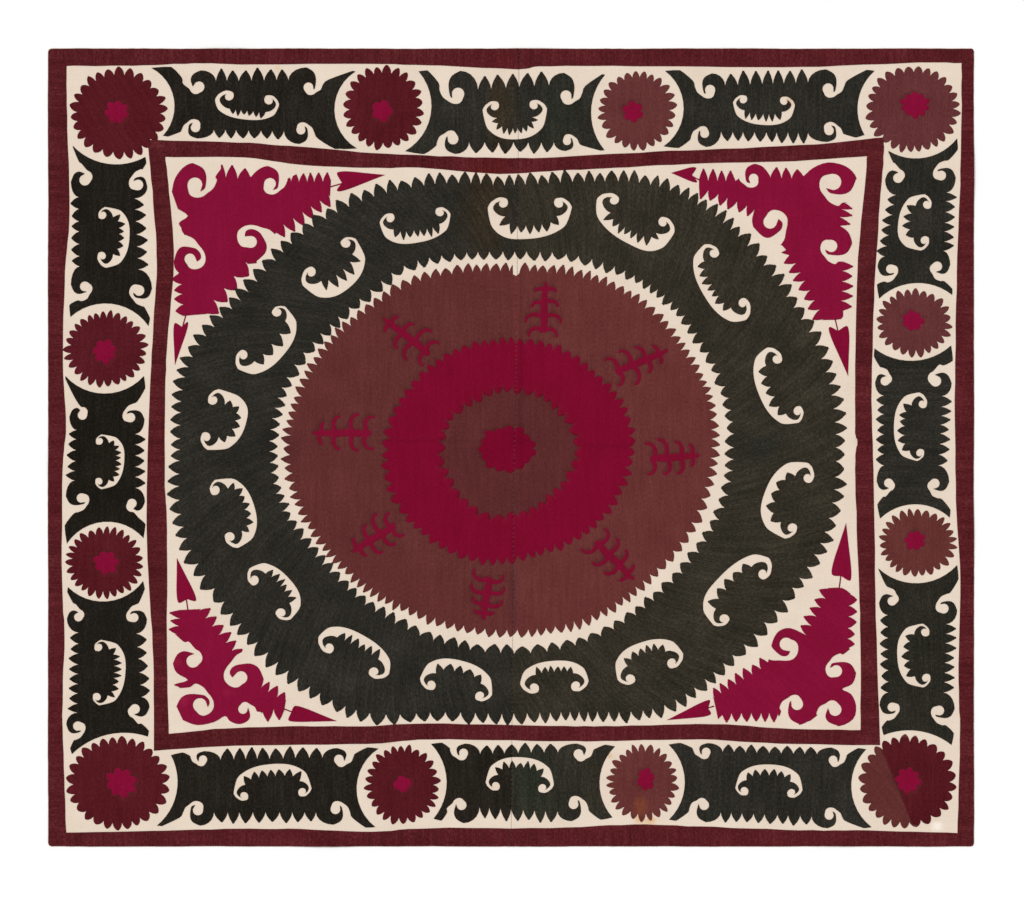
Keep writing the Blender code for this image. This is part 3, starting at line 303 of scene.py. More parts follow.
# Degrees from tooth to tooth every 15 degrees from right going down, for the first three of those edges,
# and the even pitches of the last two
PITCHES = (
    (2.56, 3.2, 3.1), (2.3, 3.3, 3.55), (2.85, 3.4, 3.8), (2.32, 3.5, 2.6), (2.0, 3.9, 2.85),
    (2.05, 4.2, 3.1), (3.13, 4.1, 3.25), (2.95, 3.6, 3.0), (2.27, 3.4, 2.6), (2.46, 3.0, 2.5),
    (2.66, 2.8, 2.2), (2.14, 2.5, 2.3), (2.08, 2.5, 2.35), (2.08, 3.3, 2.2), (2.4, 3.2, 2.45),
    (2.65, 3.7, 3.1), (2.6, 3.5, 3.6), (2.33, 3.3, 3.0), (2.55, 3.8, 2.95), (2.27, 3.6, 2.85),
    (1.84, 2.7, 2.55), (2.23, 2.6, 2.8), (2.47, 3.3, 2.45), (2.17, 3.0, 2.35),
)
EVEN_PITCHES = {3: 5.2, 4: 10.0}

# Bare notch at the seam above the brown disc, clockwise: x, y
NOTCH_AT_SEAM = (
    (511.5, 250.0), (521.0, 250.0), (520.0, 258.0), (519.6, 273.0), (516.5, 276.0), (513.0, 274.5),
    (512.6, 262.0),
)

# Centre flower: x, y, half width, half height, petals
FLOWER = (507.0, 449.0, 30.0, 24.0, 15)

# Rosettes: x, y, half width, half height, teeth, thread, then the star inside:
# x, y, half width, half height, points
ROSETTES = (
    (118.7, 113.5, 49.0, 46.0, 26, "maroon", 117.0, 112.0, 12.5, 12.0, 7),
    (383.3, 107.9, 41.0, 42.5, 24, "maroon", 382.0, 111.0, 11.5, 11.5, 5),
    (637.2, 110.5, 39.5, 40.5, 25, "brown", 633.0, 112.0, 10.5, 11.0, 6),
    (912.6, 108.8, 47.5, 44.0, 28, "brown", 915.0, 105.0, 15.5, 14.0, 10),
    (105.8, 349.0, 42.0, 38.5, 28, "maroon", 105.0, 351.5, 13.0, 12.5, 7),
    (104.6, 562.4, 39.5, 36.0, 27, "maroon", 106.0, 562.5, 13.0, 12.5, 7),
    (913.9, 322.6, 38.5, 34.5, 24, "brown", 912.6, 321.0, 11.5, 11.0, 7),
    (917.4, 543.0, 39.0, 34.5, 26, "brown", 915.0, 540.5, 11.0, 10.5, 7),
    (117.9, 783.3, 52.0, 47.0, 27, "maroon", 121.0, 782.6, 16.0, 15.5, 8),
    (402.5, 784.8, 38.0, 40.5, 26, "maroon", 402.5, 783.7, 9.0, 9.0, 4),
    (642.7, 782.6, 36.0, 38.5, 26, "brown", 646.0, 779.4, 9.0, 12.5, 6),
    (907.2, 782.0, 49.5, 47.5, 26, "brown", 908.0, 780.4, 13.0, 13.5, 8),
)

# Cream crescents on the black ring: ball x, y, other ball x, y, back x, y, ball size, width, teeth,
# then how far each end reaches past its ball, in balls
RING_CRESCENTS = (
    (503, 203, 559, 203, 518, 239.3, 4.8, 14.0, 7, 3.5, 2.9),
    (614, 200, 663, 222, 637, 248, 4.6, 14.0, 8, 3.8, 3.5),
    (714, 253, 743, 303, 703, 294, 4.6, 13.0, 7, 2.9, 3.8),
    (777, 359, 798, 411, 759, 395, 4.6, 14.0, 5, 3.4, 2.6),
    (808, 478, 792, 528, 763, 497, 4.6, 13.0, 5, 3.4, 2.9),
    (763, 574, 724, 619, 712, 585, 4.8, 14.0, 5, 3.6, 2.6),
    (672, 663, 630, 679, 636, 644, 4.8, 12.0, 6, 3.1, 2.7),
    (534, 688, 576, 686, 556, 660.5, 4.8, 11.5, 6, 3.1, 2.9),
    (431, 685, 480, 696, 459, 660, 4.6, 12.0, 5, 2.9, 2.7),
    (329, 648, 374, 672, 361, 634, 4.8, 14.0, 6, 3.3, 3.2),
    (254, 580, 281, 613, 293, 583, 4.8, 12.5, 6, 2.7, 2.5),
    (215, 490, 230, 537, 254, 505, 4.8, 10.5, 7, 2.2, 2.9),
    (213, 400, 206, 437, 247.5, 417, 4.6, 11.5, 6, 2.8, 2.9),
    (277, 312, 243, 355, 286, 352, 4.6, 16.5, 4, 2.2, 3.3),
    (346, 243, 311, 272, 349, 288, 4.8, 18.5, 5, 2.3, 3.4),
    (390, 218, 440, 212, 412, 243.5, 4.4, 13.0, 7, 2.7, 2.5),
)

# Black border figures. Each row gives the axis it runs along, then
# horns: near and far side at its start, near and far side at its end
# hollows: deepest point of the start and of the end
# volutes, in the horns' order: ball x, y, size, turn in degrees, reach, wing
# rows: teeth of the near and of the far side: x, y to x, y, count, length
# crescent: as on the ring
FIGURES = (
    ("x", ((151.4, 68.0), (163, 135.8), (355.5, 71.5), (357, 148.5)), ((174, 99), (334.5, 112)),
     ((199, 87, 5.5, 176, 16.5, 20), (195.5, 127.5, 4.8, 238, 11, 5), (308.5, 87.5, 5, 203, 20, 3),
      (301, 130, 4.6, 225, 14, 22)),
     ((216, 81.5, 288.5, 80.5, 6, 12), (214, 129.5, 284, 131, 6, 9)),
     (229, 96, 269, 100, 246, 119.7, 4.6, 9.5, 6, 3.2, 2.5)),
    ("x", ((418.6, 71.5), (405, 151.2), (605, 74.8), (604.5, 150.2)), ((431.5, 106), (591, 113)),
     ((458, 94, 6.3, 214, 23, 9), (453, 139, 5.5, 206, 15, 19), (566, 96, 5.6, 209, 23, 3),
      (567, 141, 4.2, 220, 10, 4)),
     ((478, 90, 549, 86, 5, 14), (469, 142, 554, 142, 6, 11)),
     (494.5, 106, 534, 105, 515, 139.5, 4.4, 11.5, 9, 3.0, 3.2)),
    ("x", ((665, 71), (663.5, 146.5), (874.5, 71), (864.5, 135)), ((683.5, 105), (857.5, 105)),
     ((710, 90, 5.2, 222, 16.5, 15), (704.5, 133.5, 4.6, 212, 13.5, 15), (828, 89, 5.6, 211, 19.5, 8),
      (829, 130.5, 4.8, 246, 11.5, 9)),
     ((725, 86, 808, 83, 7, 13.5), (721, 131.5, 808, 132.5, 8, 10)),
     (743, 99.5, 784, 101, 766, 125.2, 4.0, 11.5, 6, 2.7, 3.0)),
    ("y", ((73, 146), (145.5, 157), (70.5, 317), (148.5, 326)), ((116, 164.5), (103, 303.5)),
     ((85, 180, 5.6, 180, 14, 1), (138, 185, 5.4, 228, 9.5, 6), (85, 286.5, 5, 200, 14, 12),
      (139, 290.5, 5.4, 250, 13, 8)),
     ((79, 197, 80, 266.5, 6, 8), (134, 198.5, 138, 269.5, 6, 10.5)),
     (102.5, 215, 102, 256, 129.8, 233, 4.0, 11, 6, 2.2, 3.2)),
    ("y", ((65.5, 376), (144, 376), (67, 543.5), (143.7, 538)), ((107.5, 393.5), (104, 521.8)),
     ((82.5, 415, 4.8, 156, 13, 3), (130.5, 417.5, 4.8, 225, 14, 12), (81.5, 498, 4.8, 222, 15.5, 18),
      (132, 503.5, 4.8, 165, 13, 14)),
     ((77, 430, 75, 480.5, 5, 8.5), (135, 434, 135, 488, 5, 9.5)),
     (99.5, 441, 99, 481.5, 124.6, 456, 3.6, 9.0, 8, 2.0, 2.3)),
    ("y", ((68, 587), (143.2, 581), (72, 754), (148, 736.5)), ((103.7, 601.5), (113, 733.5)),
     ((78.5, 617, 4.4, 180, 11.5, 5), (134, 617.5, 4.6, 230, 13, 8), (78, 726, 4.8, 215, 11.5, 6),
      (135, 709, 5, 188, 14.5, 6)),
     ((79, 632.5, 78, 712.5, 8, 9), (136, 633.5, 141, 697, 5, 10)),
     (98.5, 647, 97, 697, 125.8, 668, 4.0, 12, 8, 2.0, 2.2)),
    ("y", ((888.5, 151), (957, 138.5), (879, 298.6), (952, 295)), ((917.8, 158.5), (917.8, 283)),
     ((898, 178, 5, 182, 13, 1), (941, 175.5, 5, 221, 14.5, 11), (890.5, 269, 4.6, 222, 13, 14),
      (937, 266.5, 5, 196, 13, 6)),
     ((896, 195, 885, 256.5, 6, 8.5), (946, 192.5, 943, 251, 6, 10)),
     (927, 204.5, 924.6, 240.5, 897.6, 227, 4.2, 12.5, 4, 2.6, 2.7)),
    ("y", ((874.5, 348.5), (951, 345.5), (880, 518.5), (949.6, 517.6)), ((908, 360.8), (916, 504.2)),
     ((885, 381, 4.6, 196, 10, 8), (935.5, 381, 5.6, 187, 16, 15), (888.5, 483, 4.6, 184, 12, 14),
      (934.5, 483.5, 5, 192, 14.5, 8)),
     ((884, 395.5, 884, 465.5, 7, 7.5), (941.5, 396, 938, 465.5, 7, 10)),
     (922.5, 404, 920, 453, 893.8, 424, 4.0, 11, 6, 3.1, 2.2)),
    ("y", ((878.5, 568.5), (957, 565), (883.5, 735), (951.5, 745)), ((918.8, 583.2), (914.4, 730.4)),
     ((892, 601, 4.6, 192, 13, 1), (943.5, 608.5, 5, 217, 13.5, 14), (892, 707, 4.6, 225, 12.5, 8),
      (939, 710.5, 5, 222, 15.5, 12)),
     ((888, 615, 888.5, 692.5, 7, 8), (945.5, 624, 943, 692.5, 7, 10.5)),
     (925, 632, 926, 678, 896.8, 654, 4.2, 12.5, 5, 2.2, 2.4)),
    ("x", ((171, 755), (157, 825.5), (378.5, 748.5), (375.5, 827)), ((177.5, 777), (356.8, 784)),
     ((203, 759.5, 4.3, 204, 8.5, 12), (198, 810, 5.2, 242, 15.5, 5), (339, 759.5, 5, 196, 11.5, 11),
      (335.5, 809, 5, 217, 15.5, 10)),
     ((220.5, 760, 322.5, 758, 8, 11.5), (214, 812, 316, 812, 8, 10.5)),
     (244, 796, 302.5, 792, 273, 763.8, 4.2, 12.5, 7, 2.6, 2.4)),
    ("x", ((431, 743.8), (433.5, 818.6), (615, 746.4), (612.5, 817.3)), ((446.5, 778), (599.5, 781)),
     ((463.5, 753, 4.6, 210, 9.5, 11), (461.5, 805, 5, 190, 18, 8), (578.5, 754, 5, 194, 10.5, 10),
      (573.5, 804, 5, 222, 17, 12)),
     ((480, 754, 558, 752.5, 6, 9.5), (479.5, 807, 557.5, 811, 7, 11.5)),
     (495.5, 786, 542.5, 788, 520, 757, 4.2, 11, 7, 2.6, 2.9)),
    ("x", ((668.5, 744.5), (669, 819.5), (866, 749.2), (871.5, 827)), ((684.4, 776), (851.8, 777)),
     ((706, 752, 4.5, 210, 9, 12), (704, 805, 5, 192, 17, 7), (833, 760, 4.5, 203, 12.5, 8),
      (829, 815, 4.6, 228, 13, 8)),
     ((722.5, 752, 817, 754.5, 8, 7.5), (720.5, 812, 811.5, 816, 8, 9.5)),
     (744, 791, 791.5, 793, 770.5, 764.3, 4.2, 11.5, 6, 2.3, 2.8)),
)

# Crimson corner sprays, clockwise.
# edge: x, y, and where a row of teeth leads there from the point before, their number and length
# curls: ball x, y, size, turn, reach, wing x, y, along x, y, outward x, y, looseness
SPRAYS = (
    (((172, 192), (175, 179), (183, 168), (193, 163), (206, 165), (215, 174), (251, 177, 3, 9), (258, 170),
      (268, 166), (284, 169), (291, 180), (331, 180, 5, 7), (330, 197), (276, 233, 6, 9), (269, 252),
      (260, 262), (248, 264), (206, 314, 4, 9), (182, 316), (179, 273, 4, 7), (175, 268), (174, 260),
      (176, 248), (182, 231), (179, 223), (188, 216), (178, 209)),
     ((195, 185, 7.5, 230, 22, 221, 169, -1, 0, 0, -1, 1.0),
      (270, 184, 6, 243, 18, 297, 174, -1, 0, 0, -1, 1.0),
      (190, 259, 5.5, 290, 16, 182, 231, 0, 1, -1, 0, 1.5),
      (251, 242, 6, 296, 20, 277, 233, -0.93, 0.37, 0.37, 0.93, 1.5))),
    (((699, 178), (735, 179, 4, 9), (738, 175), (743, 167), (753, 163.8), (763, 167), (770, 176),
      (804, 176, 3, 8), (813, 168), (828, 162.5), (845, 166), (855, 175), (857, 185), (854, 195),
      (846, 203), (840, 226, 3, 9), (848, 232), (852, 243), (850, 254), (845, 262), (843, 311, 5, 8),
      (841, 319), (822, 320), (789, 255, 7, 8), (780, 252), (768, 241), (757, 234), (752, 222), (754, 211),
      (699, 189, 6, 8)),
     ((753.5, 178.5, 4.8, 235, 15, 735, 181, 1, 0, 0, -1, 1.15),
      (833, 182, 8.2, 228, 23, 852, 203, 0, -1, 1, 0, 1.0),
      (831, 246, 6.2, 238, 21, 846, 262, 0, -1, 1, 0, 1.0),
      (770, 222, 6.8, 262, 17, 786, 250, -0.46, -0.89, -0.89, 0.46, 1.35))),
    (((176, 705), (176, 697), (180, 688), (174, 684.5), (188, 680), (177, 673), (173, 663), (173, 648),
      (175, 634), (179, 610, 3, 8), (201, 609), (240, 657, 6, 8), (252, 660), (262, 668), (264, 677),
      (262, 686), (286, 700, 3, 7), (284, 712), (262, 712, 2, 9), (256, 719), (240, 724), (230, 721),
      (225, 716), (214, 722), (197, 725), (183, 720)),
     ((200, 705, 7, 284, 24, 180, 688, 0, 1, -1, 0, 1.05),
      (193, 661, 6.6, 190, 20, 175, 634, 0, 1, -1, 0, 1.0),
      (241, 677.5, 6.4, 270, 23, 243, 657, 0, 1, 1, 0, 1.45),
      (243, 709, 4.8, 196, 15, 261, 712, -1, 0, 0, 1, 1.0))),
    (((713, 696), (768, 662, 7, 7), (770, 652), (773, 640), (779, 631), (790, 628), (804, 634),
      (828, 588, 5, 8), (842, 588), (851, 594), (849, 648, 5, 6), (855, 660), (856, 673), (852, 684),
      (842, 689), (851, 694), (856, 706), (853, 719), (839, 726), (824, 723), (812, 720), (799, 725),
      (786, 722), (778, 715), (722, 715, 6, 7), (718, 719)),
     ((786, 644, 6.5, 263, 15, 769, 660, 0.8, -0.6, -0.6, -0.8, 1.35),
      (836, 671, 6, 243, 20, 850, 649, 0, 1, 1, 0, 1.0),
      (835, 709.5, 6.4, 192, 16, 811, 720, 1, 0, 0, 1, 1.0),
      (797, 704, 6, 207, 20, 778, 719, 1, 0, 0, 1, 1.0))),
)

# Crimson buds at the sprays' ends: tip x, y, lobe x, y, other lobe x, y, notch x, y, stem's root x, y
BUDS = (
    (385, 175, 337, 173, 337, 191, 342, 183, 330, 187), (175, 365, 175, 323, 188, 322, 182, 327, 186, 315),
    (671, 173, 696, 168, 697, 182, 692, 175, 701, 181), (848, 376, 829, 327, 847, 326, 838, 331, 835, 319),
    (177, 558, 179, 603, 196, 601, 187, 599, 188, 610), (337, 721, 294, 706, 288, 720, 291, 713, 282, 708),
    (846, 523, 832, 575, 850, 581, 841, 576, 839, 589), (667, 720, 710, 700, 711, 714, 708, 708, 714, 706),
)

# Crimson sprigs on the brown disc: x, y to x, y
SPRIGS = (
    (546, 282, 543, 338), (668, 350, 610, 375), (700, 455, 645, 460), (634, 580, 592, 537),
    (483, 620, 490, 573), (352, 552, 400, 522), (312, 433, 378, 433), (383, 318, 435, 358),
)


def mix(p, q, t):
    """The point a share t of the way from p to q."""
    return p + (q - p) * t


def unit(p):
    """The direction of p, with length one."""
    return p / abs(p)


def across(p):
    """The direction to the left of p, as the chart is seen."""
    return -1j * p


def chart_points(rows):
    """Chart points as complex numbers, x + 1j * y."""
    return [complex(*row) for row in rows]


def in_frame(frame, a, b):
    """The point a along and b outward from a frame's centre."""
    centre, along, outward = frame
    return centre + along * a + outward * b


def from_frame(frame, point):
    """How far a point lies along and outward from a frame's centre."""
    return [((point - frame[0]) * way.conjugate()).real for way in frame[1:]]


def round_frame(frame, degrees, radius):
    """The point at an angle round a frame's centre."""
    angle = math.radians(degrees)
    return in_frame(frame, radius * math.cos(angle), radius * math.sin(angle))


def spline(points, parts, closed=False):
    """A Catmull-Rom curve with so many parts to a span."""
    count = len(points)
    out = []
    for i in range(count if closed else count - 1):
        places = [i + k for k in (-1, 0, 1, 2)]
        a, b, c, d = (points[k % count if closed else min(max(k, 0), count - 1)] for k in places)
        for step in range(parts):
            t = step / parts
            bend = 2 * a - 5 * b + 4 * c - d + t * (3 * (b - c) + d - a)
            out.append(b + 0.5 * t * (c - a + t * bend))
    return out if closed else out + [points[-1]]


def walk(points, closed):
    """Distances along a line of points."""
    far = [0.0]
    for start, end in zip(points, points[1:] + points[:1] if closed else points[1:]):
        far.append(far[-1] + abs(end - start))
    return far


def point_at(points, far, place):
    """The point at a distance along a line of points."""
    span = max(min(bisect.bisect_right(far, place) - 1, len(far) - 2), 0)
    share = (place - far[span]) / (far[span + 1] - far[span])
    return mix(points[span % len(points)], points[(span + 1) % len(points)], share)


def tooth(start, end, outward, length, lean=0.5, belly=0.56, blunt=TIP_BLUNT):
    """One leaf-shaped tooth from its foot up to just before the next."""
    along = end - start
    tip = start + along * lean + outward * length
    left = start + along * lean * 0.16 + outward * length * belly
    right = end - along * (1 - lean) * 0.16 + outward * length * belly
    half = along * blunt / max(abs(along), 1e-6)
    rise = [mix(mix(start, left, t), mix(left, tip, t), t) for t in (0.3, 0.6, 0.84)]
    fall = [mix(mix(tip, right, t), mix(right, end, t), t) for t in (0.16, 0.4, 0.7)]
    return [start] + rise + [tip - half - outward * 0.25, tip + half - outward * 0.25] + fall


def toothed_loop(loop, count, length, side, seed, belly=0.56, blunt=TIP_BLUNT):
    """A closed line with uneven leaf-shaped teeth all round."""
    dice = random.Random(seed)
    far = walk(loop, True)
    steps = [1 + 0.16 * dice.uniform(-1, 1) for _ in range(count)]
    scale = far[-1] / sum(steps)
    feet = [0.0]
    for step in steps:
        feet.append(feet[-1] + step * scale)
    out = []
    for first, last in zip(feet, feet[1:]):
        start, end = (point_at(loop, far, place % far[-1]) for place in (first, last))
        outward = across(unit(end - start)) * side
        size, lean = length * dice.uniform(0.8, 1.18), 0.5 + dice.uniform(-0.1, 0.1)
        out += tooth(start, end, outward, size, lean, belly, blunt)
    return out


def toothed_line(start, end, count, length, outward, seed):
    """A row of uneven teeth from start, up to but without end."""
    dice = random.Random(seed)
    steps = [1 + 0.12 * dice.uniform(-1, 1) for _ in range(count)]
    done = 0.0
    points = []
    for step in steps:
        first = mix(start, end, done / sum(steps))
        done += step
        last = mix(start, end, done / sum(steps))
        points += tooth(first, last, outward, length * dice.uniform(0.88, 1.12), dice.uniform(0.42, 0.58))
    return points


def curl(frame, size, turn, loose=1.0):
    """A stroke that curls into a ball: its outer edge, the ball, and its inner edge from the hook's tip."""
    end = turn + 100
    outer = []
    for angle in range(CURL_START, int(end - 8), CURL_STEP):
        past = angle - turn
        if past < 0:
            radius = max(1.9, 3.0 - 0.0227 * (angle - CURL_START))
        elif past < 60:
            radius = 1.9 - 0.006 * past
        else:
            radius = 1.55 - 0.011 * (past - 60)
        ease = min(1.0, (end - angle) / 100)
        outer.append(round_frame(frame, angle, size * radius * (1 + (loose - 1) * ease)))
    ball = [round_frame(frame, end + 30 * k, size * (1.08 if k < 1 else 1.0)) for k in range(8)]
    inner = [round_frame(frame, turn, size * (1.12 + 0.5 * (loose - 1)))]
    for angle in range(int(turn - CURL_STEP), 180, -CURL_STEP):
        away = min(1.0, (turn - angle) / 35)
        radius = (1.12 + 0.3 * away) * (1 + (loose - 1) * min(1.0, 0.5 + away))
        inner.append(round_frame(frame, angle, size * radius))
    return outer, ball, inner


def crescent_end(frame, curve, size, reach, fade, least):
    """One edge of a crescent's curled end, stretched to its reach up to the angle where that fades out."""
    out = []
    for angle, radius in curve:
        share = min(1.0, max(0.0, (angle - fade) / (180 - fade)))
        stretch = 1 + share * (reach / END_REACH - 1)
        out.append(round_frame(frame, angle, size * max(radius * stretch, least)))
    return out


def crescent(ax, ay, bx, by, back_x, back_y, size, width, teeth, reach, other_reach, seed):
    """A cream C with two curled ends, a plain back, and a toothed hollow between two barbs."""
    first, second = complex(ax, ay), complex(bx, by)
    span = abs(second - first)
    along = unit(second - first)
    side = across(along)
    middle, depth = from_frame((first, along, side), complex(back_x, back_y))
    if depth < 0:
        side, depth = -side, -depth
    frame, mirror = (first, along, side), (second, -along, side)
    outer, inner = [], []
    for end, far in ((frame, reach), (mirror, other_reach)):
        outer.append(crescent_end(end, END_OUTER, size, far, 300, 0.0))
        inner.append(crescent_end(end, END_INNER, size, far, 60, EYE_LEAST))
    low = END_LOW * size
    back = []
    for angle in (28, 44, 60, 75, 90, 105, 120, 136, 152):
        run = middle + 0.92 * reach * size if angle <= 90 else span + 0.92 * other_reach * size - middle
        turn = math.radians(angle)
        sideways = math.copysign(abs(math.cos(turn)) ** BACK_FULL, math.cos(turn))
        height = low + (depth - low) * math.sin(turn) ** BACK_FULL
        back.append(in_frame(frame, middle - run * sideways, height))
    hollow = []
    foot, deep = BARB_LOW * size, depth - width
    for i in range(HOLLOW_PARTS + 1):
        angle = math.pi * (1 - i / HOLLOW_PARTS)
        run = (middle if angle <= math.pi / 2 else span - middle) - BARB_IN * size
        height = foot + (deep - foot) * max(math.sin(angle), 0.0) ** HOLLOW_FULL
        hollow.append(complex(middle - run * math.cos(angle), height))
    far = walk(hollow, False)
    dice = random.Random(seed)
    marks = [0.0]
    for _ in range(teeth):
        marks.append(marks[-1] + dice.uniform(0.85, 1.15))
    feet = [point_at(hollow, far, far[-1] * mark / marks[-1]) for mark in marks]
    row = []
    for start, end in zip(feet, feet[1:]):
        outward = across(unit(end - start))
        outward = -outward if outward.imag < 0 else outward
        length, lean = width * NOTCH * dice.uniform(0.75, 1.15), dice.uniform(0.38, 0.62)
        row += tooth(start, end, outward, length, lean, 0.55, 0.6)
    row = [in_frame(frame, point.real, point.imag) for point in row + feet[-1:]]
    outline = spline(outer[0][::-1] + back + outer[1], 3) + spline(inner[1], 3)
    return outline + row + spline(inner[0][::-1], 3)


def inlet(frame, size, turn, reach, wing, loose=1.0, ahead=()):
    """A cream comma that leaves a curled hook on a figure's edge."""
    outer, ball, inner = curl(frame, size, turn, loose)
    a, b = from_frame(frame, wing)
    neck = 2.5 * size * loose
    waist = in_frame(frame, -neck + 0.25 * (a + neck), 0.35 * size + 0.42 * (b - 0.35 * size))
    hook = [in_frame(frame, -1.5 * size * loose, 0.42 * reach),
            in_frame(frame, -1.0 * size * loose, 0.78 * reach),
            in_frame(frame, 0.35 * size, reach)]
    outline = [in_frame(frame, a, reach + PAST_EDGE)] + spline([*ahead, wing, waist] + outer + ball, 3)
    return outline + spline(inner + hook, 3) + [in_frame(frame, 0.35 * size, reach + PAST_EDGE)]


def arc_through(p, q, r, parts):
    """Points inside the arc of a circle from p through q to r."""
    a, c = p - q, r - q
    spread = 2 * (a.real * c.imag - a.imag * c.real)
    offset = 1j * (a * abs(c) ** 2 - c * abs(a) ** 2) / spread
    centre = q + offset
    bearings = [cmath.phase(k - centre) for k in (p, q, r)]
    turns = [(b - a + math.pi) % math.tau - math.pi for a, b in zip(bearings, bearings[1:])]
    return [centre + cmath.rect(abs(offset), bearings[0] + sum(turns) * i / parts) for i in range(1, parts)]


def border_figure(row, seed):
    """A black border figure's outline and the inlets cut into it."""
    axis, horns, hollows, volutes, lanes, _ = row
    horns, hollows = chart_points(horns), chart_points(hollows)
    along, near = (1 + 0j, -1j) if axis == "x" else (1j, -1 + 0j)
    frames, wings = [], []
    ways = ((along, near), (along, -near), (-along, near), (-along, -near))
    for volute, horn, (a, b) in zip(volutes, horns, ways):
        x, y, size, _, reach, wing = volute
        place = (complex(x, y), a, b)
        toward = unit(in_frame(place, 0.35 * size, reach) - horn)
        frames.append(place)
        wings.append(horn + toward * wing + b * 0.1 * wing)

    def shoulder(which, foot):
        """The edge from a horn over its hook to the foot of the row of teeth."""
        _, _, size, _, reach, wing = volutes[which]
        outward = frames[which][2]
        points = [horns[which], wings[which]]
        if wing > STRAIGHT_WING:
            bend = mix(*points, 0.6) + outward * 0.02 * wing
            points = spline([points[0], bend, points[1]], 4)
        a, b = from_frame(frames[which], foot)
        for turn in (0, 18, 36, 54, 72):
            share = math.radians(turn)
            points.append(in_frame(frames[which], 0.4 * size + (a - 0.4 * size) * math.sin(share),
                                   b + (reach - b) * math.cos(share)))
        return points

    def long_edge(first, last, lane, seed):
        """A long edge of the figure from one horn to the other."""
        start, end = chart_points((lane[:2], lane[2:4]))
        teeth = toothed_line(start, end, *lane[4:], frames[first][2], seed)
        return shoulder(first, start) + teeth + [end] + shoulder(last, end)[::-1]

    edge = long_edge(0, 2, lanes[0], seed) + arc_through(horns[2], hollows[1], horns[3], 12)
    edge += long_edge(1, 3, lanes[1], seed + 1)[::-1] + arc_through(horns[1], hollows[0], horns[0], 12)
    cuts = []
    for volute, place, wing, horn in zip(volutes, frames, wings, horns):
        ahead = [mix(horn, wing, 0.6)] if volute[5] > STRAIGHT_WING else []
        cuts.append(inlet(place, *volute[2:5], wing, ahead=ahead))
    return edge, cuts


def spray(row, seed):
    """A corner spray's outline and the inlets cut into it."""
    around_edge, curls = row
    edge, smooth = [], []
    last = complex(*around_edge[-1][:2])
    for i, (x, y, *teeth) in enumerate(around_edge):
        here = complex(x, y)
        if teeth:
            count, length = teeth
            outward = across(unit(here - last))
            sink = outward * -SPRAY_SINK * length
            edge += spline(smooth, 3)
            length *= 1 + SPRAY_SINK
            edge += toothed_line(last + sink, here + sink, count, length, outward, seed + i)
            smooth = []
        smooth.append(here)
        last = here
    cuts = []
    for x, y, size, turn, reach, wing_x, wing_y, ax, ay, bx, by, loose in curls:
        frame = (complex(x, y), complex(ax, ay), complex(bx, by))
        cuts.append(inlet(frame, size, turn, reach, complex(wing_x, wing_y), loose))
    return edge + spline(smooth, 3), cuts


def star(x, y, wide, high, points, depth, seed):
    """A small uneven flower with round petals."""
    dice = random.Random(seed)
    spin = dice.uniform(0, math.tau)
    out = []
    for _ in range(points):
        reach = dice.uniform(0.9, 1.06)
        for share in (0.0, 0.12, 0.3, 0.5, 0.7, 0.88):
            size = depth + (reach - depth) * math.sin(math.pi * share) ** 0.75
            angle = spin + math.tau * share / points
            out.append(complex(x + wide * size * math.cos(angle), y + high * size * math.sin(angle)))
        spin += math.tau / points
    return out


def rosette(row, seed):
    """A toothed disc."""
    x, y, wide, high, teeth = row[:5]
    wide, high = wide - ROSETTE_TOOTH, high - ROSETTE_TOOTH
    angles = [math.tau * i / LOOP_PARTS for i in range(LOOP_PARTS)]
    loop = [complex(x + wide * math.cos(angle), y + high * math.sin(angle)) for angle in angles]
    return toothed_loop(loop, teeth, ROSETTE_TOOTH, 1.0, seed, belly=0.8, blunt=0.9)


def bud(row):
    """A pointed bud with two lobes and its stem."""
    tip, lobe, other, notch, root = chart_points(row[k:k + 2] for k in range(0, 10, 2))
    middle = mix(lobe, other, 0.5)
    halves = []
    for end in (lobe, other):
        swell = end - middle
        line = [mix(end, tip, back) + swell * out for back, out in ((0.6, 0.12), (0.28, 0.22), (0.07, 0.16))]
        halves.append(spline([tip] + line + [end - swell * 0.12, notch], 4))
    half = across(unit(notch - root)) * 0.6
    inside = mix(notch, tip, 0.15)
    return halves[0] + halves[1][::-1][1:-1], [root + half, inside + half, inside - half, root - half]


def ribbon(line, widths):
    """A closed outline along a line, with a half width at each point."""
    left, right = [], []
    for point, ahead, behind, half in zip(line, line[1:] + line[-1:], line[:1] + line, widths):
        side = across(unit(ahead - behind)) * half
        left.append(point + side)
        right.append(point - side)
    return left + right[::-1]


def sprig(x0, y0, x1, y1, seed):
    """A stem with pairs of legs that curl back."""
    start, end = complex(x0, y0), complex(x1, y1)
    span = abs(end - start)
    along = unit(end - start)
    place = (start, along, across(along))
    dice = random.Random(seed)
    stem = [in_frame(place, span * t, dice.uniform(-0.8, 0.8)) for t in (0.0, 0.15, 0.35, 0.55, 0.75, 0.9)]
    widths = [0.5 + SPRIG_STEM * math.sin(0.86 * math.pi * i / 20) ** 0.6 for i in range(21)]
    shapes = [ribbon(spline(stem, 4), widths)]
    for foot, reach, drop in SPRIG_LEGS:
        for way in (1, -1):
            size, slip = dice.uniform(0.85, 1.12), dice.uniform(-1.5, 1.5)
            leg = [in_frame(place, span * foot + slip + a * drop * size, way * b * reach * size)
                   for a, b in SPRIG_LEG_CURVE]
            line = spline(leg, 3)
            last = len(line) - 1
            shapes.append(ribbon(line, [0.9 + 1.5 * (1 - i / last) ** 0.7 for i in range(last + 1)]))
    return shapes


def around(values, bearing):
    """A value between those given at even steps of the full turn."""
    place = bearing / 360 * len(values) % len(values)
    first = int(place)
    return mix(values[first], values[(first + 1) % len(values)], place - first)


